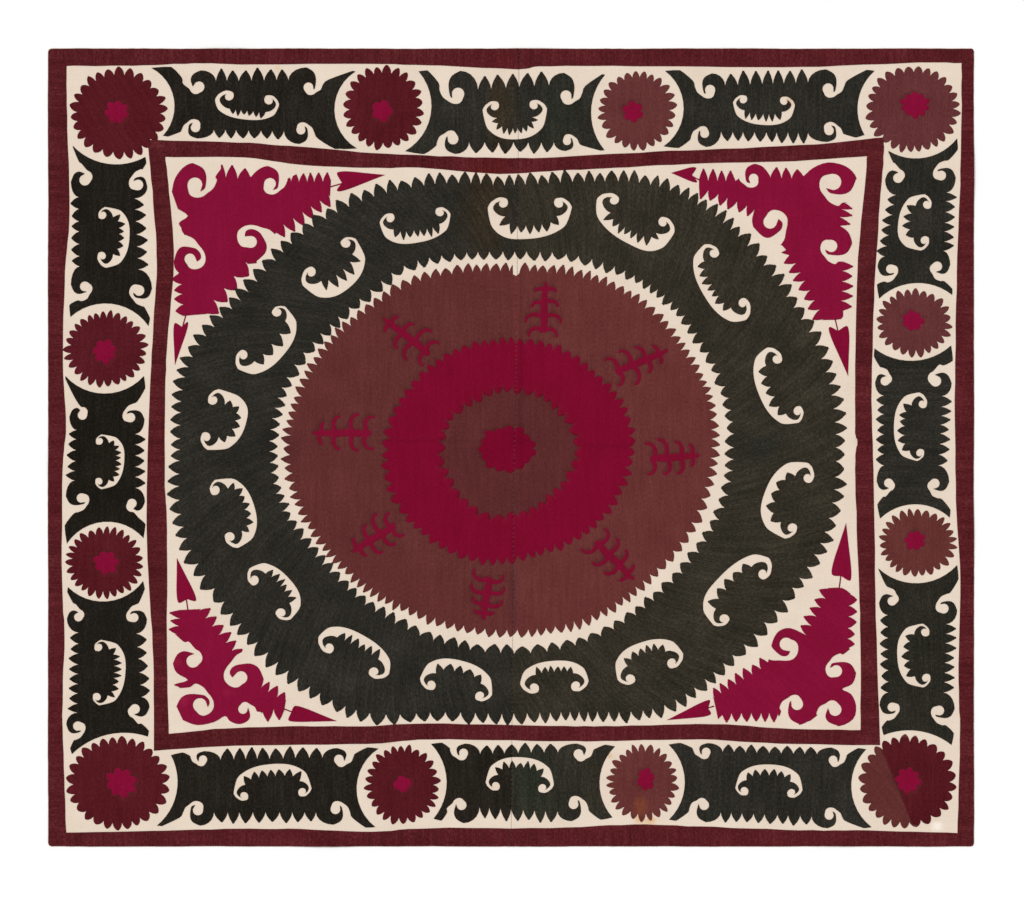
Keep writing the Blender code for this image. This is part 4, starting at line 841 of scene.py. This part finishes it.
def ring_edge(which):
    """One of the toothed edges of the centre."""
    length, side, lean, blunt = RING_EDGES[which]
    dice = random.Random(40 + which)
    radii = spline([row[which] - 0.5 * side * length for row in RADII], 8, True)
    pitches = [EVEN_PITCHES[which]] if which in EVEN_PITCHES else [row[which] for row in PITCHES]
    bearings = [0.0]
    while bearings[-1] < 360.0:
        bearings.append(bearings[-1] + around(pitches, bearings[-1] - 4.0) * dice.uniform(0.86, 1.14))
    bearings = [360.0 * bearing / bearings[-1] for bearing in bearings]
    middle = complex(*MIDDLE)
    feet = [middle + cmath.rect(around(radii, bearing), math.radians(bearing)) for bearing in bearings]
    out = []
    for start, end in zip(feet, feet[1:]):
        outward = across(unit(end - start)) * side
        size, tilt = length * dice.uniform(0.8, 1.18), lean + dice.uniform(-0.1, 0.1)
        out += tooth(start, end, outward, size, tilt, 0.6, blunt * dice.uniform(0.7, 1.2))
    return out


def framed(rows):
    """A band's edge: each side a slightly uneven line between sharp corners."""
    loop = chart_points(rows)
    dice = random.Random(len(loop))
    corners = []
    for way in (-1 + 1j, 1 + 1j, 1 - 1j, -1 - 1j):
        corners.append(max(range(len(loop)), key=lambda i: (loop[i] * way).real))
    out = []
    for first, last in zip(corners, corners[1:] + corners[:1]):
        count = (last - first) % len(loop)
        side = spline([loop[(first + k) % len(loop)] for k in range(count + 1)], 6)[:-1]
        out.append(side[0])
        for point in side[1:]:
            out.append(point + complex(dice.uniform(-UNEVEN, UNEVEN), dice.uniform(-UNEVEN, UNEVEN)))
    return out


def paint_list():
    """Every field as piece, outline, thread and the threads it may cover, from the lowest up."""
    fields = []

    def paint(piece, outline, thread, over=None):
        fields.append((piece, [(point.real, point.imag) for point in outline], thread, over))

    def cut(outline, over):
        paint("ground", outline, "cotton", over)

    cut(framed(BORDER_EDGE), None)
    paint("inner_band", framed(BAND_OUTER), "band")
    cut(framed(BAND_INNER), None)
    paint("black_ring", ring_edge(0), "black")
    for i, row in enumerate(RING_CRESCENTS):
        cut(crescent(*row, i), ("black",))
    cut(ring_edge(1), None)
    paint("brown_disc", ring_edge(2), "brown")
    cut(chart_points(NOTCH_AT_SEAM), ("brown",))
    paint("crimson_ring", ring_edge(3), "crimson")
    paint("brown_core", ring_edge(4), "brown")
    paint("centre_flower", star(*FLOWER, 0.84, 9), "crimson")
    for i, row in enumerate(SPRIGS):
        for shape in sprig(*row, 300 + i):
            paint(f"sprig_{i + 1}", shape, "crimson", ("brown",))
    for i, row in enumerate(ROSETTES):
        paint(f"rosette_{i + 1}", rosette(row, 60 + i), row[5])
        if i == len(ROSETTES) - 1:
            paint(f"rosette_{i + 1}_right", chart_points(DARK_HALF), "maroon", ("brown",))
        paint(f"star_{i + 1}", star(*row[6:11], 0.7, 80 + i), "crimson")
    for i, row in enumerate(FIGURES):
        edge, cuts = border_figure(row, 100 + 2 * i)
        paint(f"figure_{i + 1}", edge, "black", ("cotton",))
        for outline in cuts + [crescent(*row[5], 20 + i)]:
            cut(outline, ("black",))
    for i, row in enumerate(SPRAYS):
        edge, cuts = spray(row, 200 + 40 * i)
        paint(f"spray_{i + 1}", edge, "crimson", ("cotton",))
        for outline in cuts:
            cut(outline, ("crimson",))
    for i, row in enumerate(BUDS):
        for shape in bud(row):
            paint(f"bud_{i + 1}", shape, "crimson", ("cotton",))
    return fields


def cloth_edge(inset):
    """The cloth's outer edge, a little uneven, with small round corners."""
    low, high = inset, inset + CORNER_ROUND
    bend = 0.7 * low + 0.3 * high
    corners = [(LEFT, TOP, 1, 1), (RIGHT, TOP, -1, 1), (RIGHT, BOTTOM, -1, -1), (LEFT, BOTTOM, 1, -1)]
    points = []
    for i, (x, y, way_x, way_y) in enumerate(corners):
        turn = [(low, high), (bend, bend), (high, low)]
        if i % 2:
            turn = turn[::-1]
        points += [(x + way_x * a, y + way_y * b) for a, b in turn]
        next_x, next_y = corners[(i + 1) % 4][:2]
        count = int(math.dist((x, y), (next_x, next_y)) / EDGE_STEP)
        for k in range(1, count):
            points.append((x + (next_x - x) * k / count, y + (next_y - y) * k / count))
            if next_y == y:
                points[-1] = (points[-1][0], y + way_y * inset)
            else:
                points[-1] = (x + way_x * inset, points[-1][1])
    out = []
    dice = random.Random(17)
    for x, y in points:
        wave = sum(size * math.sin(rate * (x + share * y) + start) for size, rate, share, start in EDGE_WAVES)
        wave += dice.uniform(0.0, 2.0) * EDGE_RAGGED
        way_x = 1 if x < MIDDLE[0] else -1
        way_y = 1 if y < MIDDLE[1] else -1
        out.append((x + EDGE_WANDER * way_x * (1 + wave), y + EDGE_WANDER * way_y * (1 + wave)))
    return out


def seam_x(y):
    """Where the seam runs at a height on the chart."""
    return np.interp(y, [row[1] for row in SEAM], [row[0] for row in SEAM])


def seam_line(shift):
    """The seam's line, moved sideways."""
    ys = np.linspace(TOP - PAST_END, BOTTOM + PAST_END, SEAM_PARTS)
    return [(float(x + shift), float(y)) for x, y in zip(seam_x(ys), ys)]


def inner_row(outline, depth):
    """The outline moved inwards, or outwards for a depth below zero."""
    points = np.array(outline)
    ahead = np.roll(points, -1, axis=0) - points
    ahead /= np.maximum(np.linalg.norm(ahead, axis=1, keepdims=True), 1e-6)
    behind = np.roll(ahead, 1, axis=0)
    area = np.sum(points[:, 0] * np.roll(points[:, 1], -1) - np.roll(points[:, 0], -1) * points[:, 1])
    normal = np.stack((-(ahead + behind)[:, 1], (ahead + behind)[:, 0]), axis=1)
    size = np.maximum(np.linalg.norm(normal, axis=1, keepdims=True), 0.9)
    return [tuple(p) for p in points + normal / size * depth * ROW_REACH * (1 if area > 0 else -1)]


def winding(points, outline):
    """How often an outline goes round each point, for points sorted by their second value."""
    turns = np.zeros(len(points), dtype=int)
    ys = points[:, 1]
    for (x0, y0), (x1, y1) in zip(outline, outline[1:] + outline[:1]):
        first, last = np.searchsorted(ys, (min(y0, y1), max(y0, y1)))
        if first == last:
            continue
        some = points[first:last]
        left = some[:, 0] < x0 + (some[:, 1] - y0) * (x1 - x0) / (y1 - y0)
        turns[first:last] += left * (1 if y1 > y0 else -1)
    return turns


def painted(points, fields):
    """The number of the piece that shows at each point, and the pieces' names and threads."""
    order = np.argsort(points[:, 1], kind="stable")
    ranked = points[order]
    names, threads = ["nothing"], ["none"]
    found = np.zeros(len(points), dtype=int)
    for piece, outline, thread, over in fields:
        if piece not in names:
            names.append(piece)
            threads.append(thread)
        inside = winding(ranked, outline) != 0
        if over is not None:
            allowed = np.array([below in over for below in threads])
            inside &= allowed[found]
        found[inside] = names.index(piece)
    shown = np.zeros(len(points), dtype=int)
    shown[order] = found
    return shown, names, threads


def triangles_of(lines, loose):
    """Triangles over closed lines, open lines and loose points."""
    points, edges = [], []
    for line, closed in lines:
        first = len(points)
        count = len(line)
        points += line
        edges += [(first + i, first + (i + 1) % count) for i in range(count if closed else count - 1)]
    points += loose
    made = delaunay_2d_cdt([Vector(point) for point in points], edges, [], 0, 1e-4)
    return np.array([tuple(v) for v in made[0]]), np.array([tuple(face) for face in made[2]])


def filling_points(fields):
    """A net of points inside the stitched fields, away from every edge."""
    net = []
    rows = int((BOTTOM - TOP) / (NET * NET_HIGH))
    for j in range(rows):
        for i in range(int((RIGHT - LEFT) / NET)):
            net.append((LEFT + NET * (i + 0.25 + 0.5 * (j % 2)), TOP + NET * NET_HIGH * (j + 0.5)))
    for step in BESIDE_SEAM:
        net += [(x + step, y) for x, y in seam_line(0)]
    for step in ACROSS_CREASE:
        net += [(LEFT + CREASE_NET * k, CREASE + step) for k in range(1, CREASE_PARTS + 1)]
    net = np.array(net)
    shown, _, threads = painted(net, fields)
    stitched = np.array([thread not in ("none", "cotton") for thread in threads])
    tree = KDTree(sum(len(field[1]) for field in fields) + 1)
    count = 0
    for field in fields:
        for x, y in field[1]:
            tree.insert((x, y, 0), count)
            count += 1
    tree.balance()
    return [tuple(p) for p in net[stitched[shown]] if tree.find((p[0], p[1], 0))[2] > CLEAR]


def lift(x, y):
    """How high the cloth's underside stands off the floor, in metres."""
    swell = sum(size * np.sin(a * x + b * y + c) for a, b, c, size in SWELLS)
    height = REST + SWELL_HEIGHT * np.clip(swell, 0, None) ** 2
    ridge = x - (seam_x(MIDDLE[1] - y / SQUARE) - MIDDLE[0]) * SQUARE
    height += SEAM_RIDGE * (np.exp(-(ridge / RIDGE_WIDE) ** 2) - 0.85 * np.exp(-(ridge / GROOVE_WIDE) ** 2))
    fold = y - (MIDDLE[1] - CREASE) * SQUARE - FOLD_WANDER * np.sin(9 * x)
    height += CREASE_RIDGE * (np.exp(-(fold / FOLD_WIDE) ** 2) - 0.8 * np.exp(-(fold / FOLD_GROOVE) ** 2))
    return height


def metres(points):
    """Chart points in metres, as two arrays."""
    return (points[:, 0] - MIDDLE[0]) * SQUARE, (MIDDLE[1] - points[:, 1]) * SQUARE


def split_corners(faces):
    """Faces with a corner of their own for each fan that they make round a point."""
    parent = np.arange(3 * len(faces))

    def root(k):
        while parent[k] != k:
            parent[k] = parent[parent[k]]
            k = parent[k]
        return k

    sides = {}
    for f, face in enumerate(faces.tolist()):
        for k in range(3):
            a, b = face[k], face[(k + 1) % 3]
            other = sides.pop((b, a), None)
            if other is None:
                sides[(a, b)] = (3 * f + k, 3 * f + (k + 1) % 3)
            else:
                parent[root(other[0])] = root(3 * f + (k + 1) % 3)
                parent[root(other[1])] = root(3 * f + k)
    roots = np.array([root(k) for k in range(3 * len(faces))])
    kept, numbers = np.unique(roots, return_inverse=True)
    rim = [(numbers[a], numbers[b]) for a, b in sides.values()]
    return faces.reshape(-1)[kept], numbers.reshape(-1, 3), np.array(rim)


def add_object(name, data):
    """A new object in the scene."""
    made = bpy.data.objects.new(name, data)
    bpy.context.scene.collection.objects.link(made)
    return made


def dress(piece, material):
    """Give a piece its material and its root."""
    piece.data.materials.append(MATERIALS[material])
    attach(piece, "root")


def closed_piece(name, points, faces, top, bottom):
    """A closed body over chart triangles, with the chart number of each of its upper corners."""
    source, corners, rim = split_corners(faces)
    x, y = metres(points[source])
    count = len(source)
    height, depth = top(x, y, source), bottom(x, y, source)
    verts = np.concatenate((np.stack((x, y, height), axis=1), np.stack((x, y, depth), axis=1)))
    upper = corners[:, ::-1]
    lower = corners + count
    walls = np.stack((rim[:, 0], rim[:, 1], rim[:, 1] + count, rim[:, 0] + count), axis=1)
    mesh = bpy.data.meshes.new(name)
    mesh.vertices.add(len(verts))
    mesh.vertices.foreach_set("co", verts.ravel())
    loops = np.concatenate((upper.ravel(), lower.ravel(), walls.ravel()))
    sizes = np.concatenate((np.full(len(upper) + len(lower), 3), np.full(len(walls), 4)))
    mesh.loops.add(len(loops))
    mesh.loops.foreach_set("vertex_index", loops)
    mesh.polygons.add(len(sizes))
    mesh.polygons.foreach_set("loop_start", np.concatenate(([0], np.cumsum(sizes)[:-1])))
    mesh.polygons.foreach_set("loop_total", sizes)
    mesh.update(calc_edges=True)
    mesh.validate()
    mesh.polygons.foreach_set("use_smooth", np.ones(len(mesh.polygons), dtype=bool))
    return add_object(name, mesh), source


def own_shade(name):
    """A piece's factors from the table, for its own name or its kind."""
    for length in (3, 2, 1):
        shade = SHADES.get("_".join(name.split("_")[:length]))
        if shade:
            return np.array(shade)
    return np.ones(3)


def tints(name, x, y, places, spread):
    """Colour factors at chart points: the piece's own shade, its worn or stained places, and painted shade
    and highlight along the seam and the fold crease.
    """
    dice = random.Random(name)
    shade = own_shade(name) * (1 + dice.uniform(-spread, spread))
    out = np.ones((len(x), 3)) * shade
    for at_x, at_y, wide, high, red, green, blue in places:
        near = np.exp(-(((x - at_x) / wide) ** 2 + ((y - at_y) / high) ** 2) ** 1.6)
        out *= 1 + near[:, None] * (np.array((red, green, blue)) - 1)
    return out


def thread_lie(piece, x, y, beside):
    """Places across and along a piece's threads, in metres; beside marks the side strips of the bands."""
    kind = piece.split("_")[0]
    if kind in ("outer", "inner"):
        return np.where(beside, y, x), np.where(beside, x, y)
    if kind == "black":
        from_left = piece.endswith("left")
        far = np.hypot(x, y)
        bearing = np.arctan2(-y if from_left else y, -x if from_left else x)
        return RING_RADIUS * (bearing + RING_TWIST * (far - 0.5)), far
    turn = math.radians(THREAD_TURNS.get(piece, 0.0))
    u = x * math.cos(turn) - y * math.sin(turn)
    v = x * math.sin(turn) + y * math.cos(turn)
    return u + 0.004 * np.sin(8 * v + 5 * u), v


def add_thread_map(piece, points, source, faces_count):
    """Give every corner its place across and along the threads."""
    mesh = piece.data
    numbers = np.zeros(len(mesh.loops), dtype=int)
    mesh.loops.foreach_get("vertex_index", numbers)
    x, y = metres(points[source[numbers % len(source)]])
    side = np.abs(x) / HALF_WIDE - np.abs(y) / HALF_HIGH
    tris = 6 * faces_count
    side[:tris] = np.repeat(side[:tris].reshape(-1, 3).mean(axis=1), 3)
    u, v = thread_lie(piece.name, x, y, side > 0)
    layer = mesh.uv_layers.new(name="thread")
    layer.data.foreach_set("uv", np.stack((u, v), axis=1).ravel())


def add_shades(piece, points, source, edge, places, spread):
    """Write the colour factors and the edge marks on a piece's points."""
    mesh = piece.data
    values = tints(piece.name, points[source, 0], points[source, 1], places, spread)
    values = np.concatenate((values, np.ones((len(source), 1))), axis=1)
    colours = mesh.color_attributes.new("tint", "FLOAT_COLOR", "POINT")
    colours.data.foreach_set("color", np.tile(values, (2, 1)).ravel())
    marks = mesh.attributes.new("edge", "FLOAT", "POINT")
    marks.data.foreach_set("value", np.tile(edge.astype(float), 2))


def stitched_pieces(fields):
    """One closed pad of thread for each motif and panel."""
    lines = []
    for _, outline, thread, _ in fields:
        lines.append((outline, True))
        lines.append((inner_row(outline, -ROUND if thread == "cotton" else ROUND), True))
    for shift in (-SEAM_HALF - ROUND, -SEAM_HALF, SEAM_HALF, SEAM_HALF + ROUND):
        lines.append((seam_line(shift), False))
    points, faces = triangles_of(lines, filling_points(fields))
    centres = points[faces].mean(axis=1)
    shown, names, threads = painted(centres, fields)
    away = centres[:, 0] - seam_x(centres[:, 1])
    made = []
    for number, (name, thread) in enumerate(zip(names, threads)):
        if thread in ("none", "cotton"):
            continue
        halves = [(side, faces[(shown == number) & (side * away > SEAM_HALF)]) for side in (-1, 1)]
        split = all(len(half) > LEAST_FACES for _, half in halves)
        for side, half in halves:
            if len(half) > LEAST_FACES:
                half_name = name + ("_right" if side > 0 else "_left")
                made.append(pad(half_name if split else name, thread, points, half))
    return made


def pad(name, thread, points, faces):
    """One pad of thread, rounded at its edges, that goes through the cloth."""
    ends = np.sort(np.concatenate((faces[:, :2], faces[:, 1:], faces[:, ::2])), axis=1)
    pairs, counts = np.unique(ends, axis=0, return_counts=True)
    rim = np.zeros(len(points), dtype=bool)
    rim[pairs[counts == 1]] = True

    def top(x, y, source):
        full = np.where(rim[source], STITCH_EDGE, STITCH)
        wave = np.sin(61 * x + 3 * np.sin(23 * y))
        full = full * (1 + PAD_UNEVEN * wave * np.sin(47 * y + 2 * np.sin(31 * x)))
        return lift(x, y) + COTTON + full

    def bottom(x, y, source):
        return lift(x, y) - REVERSE

    piece, source = closed_piece(name, points, faces, top, bottom)
    add_thread_map(piece, points, source, len(faces))
    at_seam = np.abs(points[:, 0] - seam_x(points[:, 1])) < 2 * SEAM_HALF
    # The tints carry wear and fading, and painted shade and highlight beside the seam and along the fold
    # crease
    add_shades(piece, points, source, (rim & ~at_seam)[source], WORN_AND_SHADED, THREAD_SPREAD)
    dress(piece, thread)
    return piece


def cotton_pieces():
    """The two panels of cotton, each a thin closed sheet."""
    edge = cloth_edge(0.0)
    wide, high = int((RIGHT - LEFT) / COTTON_NET), int((BOTTOM - TOP) / COTTON_NET)
    net = [(LEFT + COTTON_NET * (i + 0.5 * (j % 2)), TOP + COTTON_NET * j)
           for i in range(1, wide) for j in range(1, high)]
    net = [(x, y) for x, y in net if abs(x - seam_x(y)) > 2.5]
    lines = [(edge, True)] + [(seam_line(shift), False) for shift in COTTON_AT_SEAM]
    points, faces = triangles_of(lines, net)
    centres = points[faces].mean(axis=1)
    order = np.argsort(centres[:, 1])
    inside = np.zeros(len(centres), dtype=bool)
    inside[order] = winding(centres[order], edge) != 0
    away = centres[:, 0] - seam_x(centres[:, 1])

    def top(x, y, _):
        return lift(x, y) + COTTON

    def bottom(x, y, _):
        return lift(x, y)

    made = []
    for name, side, node in (("cotton_left", -1, "panel_left"), ("cotton_right", 1, "panel_right")):
        mine = faces[inside & (side * away > 0.1)]
        piece, source = closed_piece(name, points, mine, top, bottom)
        add_shades(piece, points, source, np.zeros(len(source)), STAINS, COTTON_SPREAD)
        dress(piece, "cotton")
        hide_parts(node)
        made.append(piece)
    return made


def seam_stitches(fields):
    """Small slanting stitches that join the panels, seen where the embroidery crosses the seam."""
    verts, faces = [], []
    dice = random.Random(7)
    rows = []
    y = TOP + PAST_END
    while y < BOTTOM - PAST_END:
        rows.append((y, dice.uniform(0.5, 0.9)))
        y += SEAM_STEP * dice.uniform(0.85, 1.15)
    shown, _, threads = painted(np.array([(seam_x(y), y) for y, _ in rows]), fields)
    for (y, slant), number in zip(rows, shown):
        if threads[number] == "cotton":
            continue
        ends = np.array([(seam_x(y) - SEAM_REACH, y + slant), (seam_x(y) + SEAM_REACH, y - slant)])
        xs, ys = metres(ends)
        first = len(verts)
        for share, size in STITCH_RINGS:
            x0 = xs[0] + (xs[1] - xs[0]) * share
            y0 = ys[0] + (ys[1] - ys[0]) * share
            ground = lift(np.array([x0]), np.array([y0]))[0]
            z0 = ground + COTTON + STITCH_EDGE + SEAM_ARCH * math.sin(math.pi * share)
            radius = SEAM_THREAD * size
            for k in range(STITCH_SIDES):
                angle = math.tau * k / STITCH_SIDES
                verts.append((x0, y0 + radius * math.cos(angle), z0 + radius * math.sin(angle)))
        for start in range(first, len(verts) - STITCH_SIDES, STITCH_SIDES):
            for k in range(STITCH_SIDES):
                a, b = start + k, start + (k + 1) % STITCH_SIDES
                faces.append((a, b, b + STITCH_SIDES, a + STITCH_SIDES))
        faces.append(tuple(first + k for k in reversed(range(STITCH_SIDES))))
        faces.append(tuple(range(len(verts) - STITCH_SIDES, len(verts))))
    mesh = bpy.data.meshes.new("seam_stitches")
    mesh.from_pydata(verts, [], faces)
    mesh.polygons.foreach_set("use_smooth", [True] * len(mesh.polygons))
    dress(add_object("seam_stitches", mesh), "seam")


class Nodes:
    """Short calls for a material's nodes."""

    def __init__(self, name):
        self.material = bpy.data.materials.new(name)
        self.material.use_nodes = True
        self.tree = self.material.node_tree
        self.shader = self.tree.nodes["Principled BSDF"]

    def put(self, kind, inputs=(), **settings):
        """A new node with its settings, and its inputs linked or set by name or number."""
        made = self.tree.nodes.new(kind)
        for key, value in settings.items():
            setattr(made, key, value)
        for key, value in dict(inputs).items():
            self.feed(made.inputs[key], value)
        return made

    def feed(self, socket, value):
        """Link a node's output to a socket, or set its value."""
        if hasattr(value, "is_output"):
            self.tree.links.new(value, socket)
        else:
            socket.default_value = value

    def math(self, kind, a, b=0.0, c=0.0):
        """The result of one sum."""
        return self.put("ShaderNodeMath", {0: a, 1: b, 2: c}, operation=kind).outputs[0]

    def noise(self, place, size, detail=3.0, rough=0.55):
        """Noise whose grains have these sizes in metres."""
        scale = tuple(1 / s for s in size)
        moved = self.put("ShaderNodeMapping", {"Vector": place, "Scale": scale}).outputs[0]
        settings = {"Vector": moved, "Scale": 1.0, "Detail": detail, "Roughness": rough}
        return self.put("ShaderNodeTexNoise", settings).outputs["Fac"]

    def ramp(self, value, stops):
        """A colour ramp through stops of place and colour."""
        made = self.put("ShaderNodeValToRGB", {"Fac": value})
        band = made.color_ramp
        while len(band.elements) < len(stops):
            band.elements.new(0.5)
        for element, (at, colour) in zip(band.elements, stops):
            element.position = at
            element.color = (*colour, 1.0)
        return made.outputs["Color"]

    def mix(self, kind, share, a, b):
        """Two colours mixed."""
        made = self.put("ShaderNodeMix", data_type="RGBA", blend_type=kind, clamp_factor=True)
        self.feed(made.inputs["Factor"], share)
        self.feed(made.inputs["A"], a)
        self.feed(made.inputs["B"], b)
        return made.outputs["Result"]

    def mark(self, name):
        """The node that reads values from a piece's points."""
        return self.put("ShaderNodeAttribute", attribute_name=name)

    def surface(self, colour, rough, shine):
        """Set the surface's colour, roughness and shine."""
        for name, value in (("Base Color", colour), ("Roughness", rough), ("Specular IOR Level", shine)):
            self.feed(self.shader.inputs[name], value)

    def bump(self, height, strength, distance):
        """Raise and lower the surface by a height."""
        made = self.put("ShaderNodeBump", {"Height": height, "Strength": strength, "Distance": distance})
        self.feed(self.shader.inputs["Normal"], made.outputs[0])


def thread_material(name):
    """Rows of laid silk thread tied down by small slanting stitches."""
    n = Nodes(name + " thread")
    middle = THREADS[name]
    dark, light = (tuple(a * b for a, b in zip(middle, tone)) for tone in TONES[name])
    across_along = n.put("ShaderNodeUVMap", uv_map="thread").outputs[0]
    split = n.put("ShaderNodeSeparateXYZ", {0: across_along})
    u, v = split.outputs[0], split.outputs[1]
    broad = n.noise(across_along, BROAD, 3.0, 0.6)
    fine = n.noise(across_along, FINE, 2.0, 0.6)
    cloudy = n.noise(n.put("ShaderNodeTexCoord").outputs["Object"], THREAD_CLOUD, 2.0)
    grain = n.noise(across_along, GRAIN, 1.0, 0.5)
    shade = n.math("MULTIPLY_ADD", fine, 0.25, n.math("MULTIPLY", grain, 0.45))
    shade = n.math("MULTIPLY_ADD", broad, 0.3, shade)
    shade = n.math("MULTIPLY_ADD", n.math("SUBTRACT", cloudy, 0.5), 0.25, shade)
    colour = n.ramp(shade, ((0.3, dark), (0.5, middle), (0.7, light)))
    colour = n.mix("MULTIPLY", 1.0, colour, n.mark("tint").outputs["Color"])
    edge = n.mark("edge").outputs["Fac"]
    worn = n.math("MULTIPLY", n.math("POWER", edge, 1.5), n.math("MULTIPLY", fine, EDGE_SHARE[name]))
    colour = n.mix("MIX", worn, colour, (*EDGE_COLOUR, 1.0))
    wander = n.math("MULTIPLY_ADD", fine, 2.0, n.math("MULTIPLY", u, math.tau / ROW))
    rows = n.math("MULTIPLY_ADD", n.math("SINE", wander), 0.5, 0.5)
    slant = n.math("ADD", n.math("MULTIPLY", v, math.tau / TIE), n.math("MULTIPLY", u, 0.5 * math.tau / ROW))
    ties = n.math("MULTIPLY_ADD", n.math("SINE", slant), 0.5, 0.5)
    height = n.math("MULTIPLY_ADD", ties, 0.4, n.math("MULTIPLY_ADD", broad, 1.2, rows))
    n.bump(height, 0.55, 0.00025)
    n.surface(colour, n.math("MULTIPLY_ADD", fine, 0.2, 0.62), 0.025)
    return n.material


def cotton_material():
    """Plain woven cotton with uneven yarns."""
    n = Nodes("cotton weave")
    place = n.put("ShaderNodeTexCoord").outputs["Object"]
    split = n.put("ShaderNodeSeparateXYZ", {0: place})
    warp = n.noise(place, WARP, 2.0)
    weft = n.noise(place, WEFT, 2.0)
    cloudy = n.noise(place, COTTON_CLOUD, 4.0, 0.6)
    specks = n.noise(place, SPECK, 2.0, 0.7)
    shade = n.math("MULTIPLY_ADD", n.math("ADD", warp, weft), 0.25, n.math("MULTIPLY", cloudy, 0.5))
    colour = n.ramp(shade, ((0.3, COTTON_DARK), (0.5, COTTON_MIDDLE), (0.7, COTTON_LIGHT)))
    fleck = n.ramp(specks, ((0.28, (0.8, 0.74, 0.66)), (0.36, (1.0, 1.0, 1.0))))
    colour = n.mix("MULTIPLY", 0.5, colour, fleck)
    colour = n.mix("MULTIPLY", 1.0, colour, n.mark("tint").outputs["Color"])
    over = n.math("SINE", n.math("MULTIPLY", split.outputs[0], math.tau / YARN))
    under = n.math("SINE", n.math("MULTIPLY", split.outputs[1], math.tau / YARN))
    weave = n.math("MULTIPLY_ADD", n.math("MULTIPLY", over, under), 0.5, n.math("ADD", warp, weft))
    n.bump(weave, 0.5, 0.0002)
    n.surface(colour, n.math("MULTIPLY_ADD", cloudy, 0.1, 0.85), 0.15)
    return n.material


def seam_material():
    """Twisted sewing thread."""
    n = Nodes("seam thread")
    place = n.put("ShaderNodeTexCoord").outputs["Object"]
    twist = n.noise(place, TWIST, 2.0)
    n.bump(twist, 0.5, 0.0001)
    n.surface(n.ramp(twist, ((0.35, SEAM_DARK), (0.65, SEAM_LIGHT))), 0.8, 0.5)
    return n.material


def add_floor():
    """A plain pale floor."""
    mesh = bpy.data.meshes.new("floor")
    mesh.from_pydata([(-6, -6, 0), (6, -6, 0), (6, 6, 0), (-6, 6, 0)], [], [(0, 1, 2, 3)])
    floor = add_object("floor", mesh)
    floor.location.z = -FLOOR_DROP
    n = Nodes("pale floor")
    n.surface((0.9, 0.9, 0.9, 1.0), 0.95, 0.0)
    mesh.materials.append(n.material)


def add_light(name, place, spread, power):
    """A soft distant light that shines from a place to the cloth's middle."""
    data = bpy.data.lights.new(name, "SUN")
    data.angle = math.radians(spread)
    data.energy = power
    lamp = add_object(name, data)
    lamp.location = place
    lamp.rotation_euler = (-Vector(place)).to_track_quat("-Z", "Y").to_euler()


def add_camera():
    """The photograph's view: straight down, the photo's up along +Y."""
    data = bpy.data.cameras.new("camera")
    data.lens = LENS
    data.sensor_width = SENSOR
    camera = add_object("camera", data)
    camera.location = (SQUARE, -SQUARE, VIEW_WIDE * LENS / SENSOR)
    bpy.context.scene.camera = camera


def set_surroundings():
    """Even white light from all round, and a key light from the upper left."""
    scene = bpy.context.scene
    world = bpy.data.worlds.new("studio")
    world.use_nodes = True
    light = world.node_tree.nodes["Background"].inputs
    light["Color"].default_value = (1.0, 1.0, 1.0, 1.0)
    light["Strength"].default_value = 0.66
    scene.world = world
    scene.view_settings.view_transform = "Standard"
    add_light("key", (-3.4, 3.0, 4.6), 25.0, 1.5)
    add_light("fill", (3.0, -2.4, 5.0), 40.0, 0.45)


def pads_over(sheet_piece, pads):
    """The pads whose middle lies over a panel."""
    reach = [Vector(corner).x for corner in sheet_piece.bound_box]
    low, high = min(reach) - SHEET_MARGIN, max(reach) + SHEET_MARGIN
    return [pad_piece for pad_piece in pads
            if low <= sum(Vector(corner).x for corner in pad_piece.bound_box) / 8 <= high]


MATERIALS = {name: thread_material(name) for name in THREADS}
MATERIALS["cotton"] = cotton_material()
MATERIALS["seam"] = seam_material()

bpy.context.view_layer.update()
add_floor()
set_surroundings()
add_camera()
chart = [("outer_band", cloth_edge(BAND_INSET), "band", None)] + paint_list()
pads = stitched_pieces(chart)
seam_stitches(chart)
cottons = cotton_pieces()
for sheet_piece, wide in zip(cottons, PANEL_WIDE):
    mine = pads_over(sheet_piece, pads)
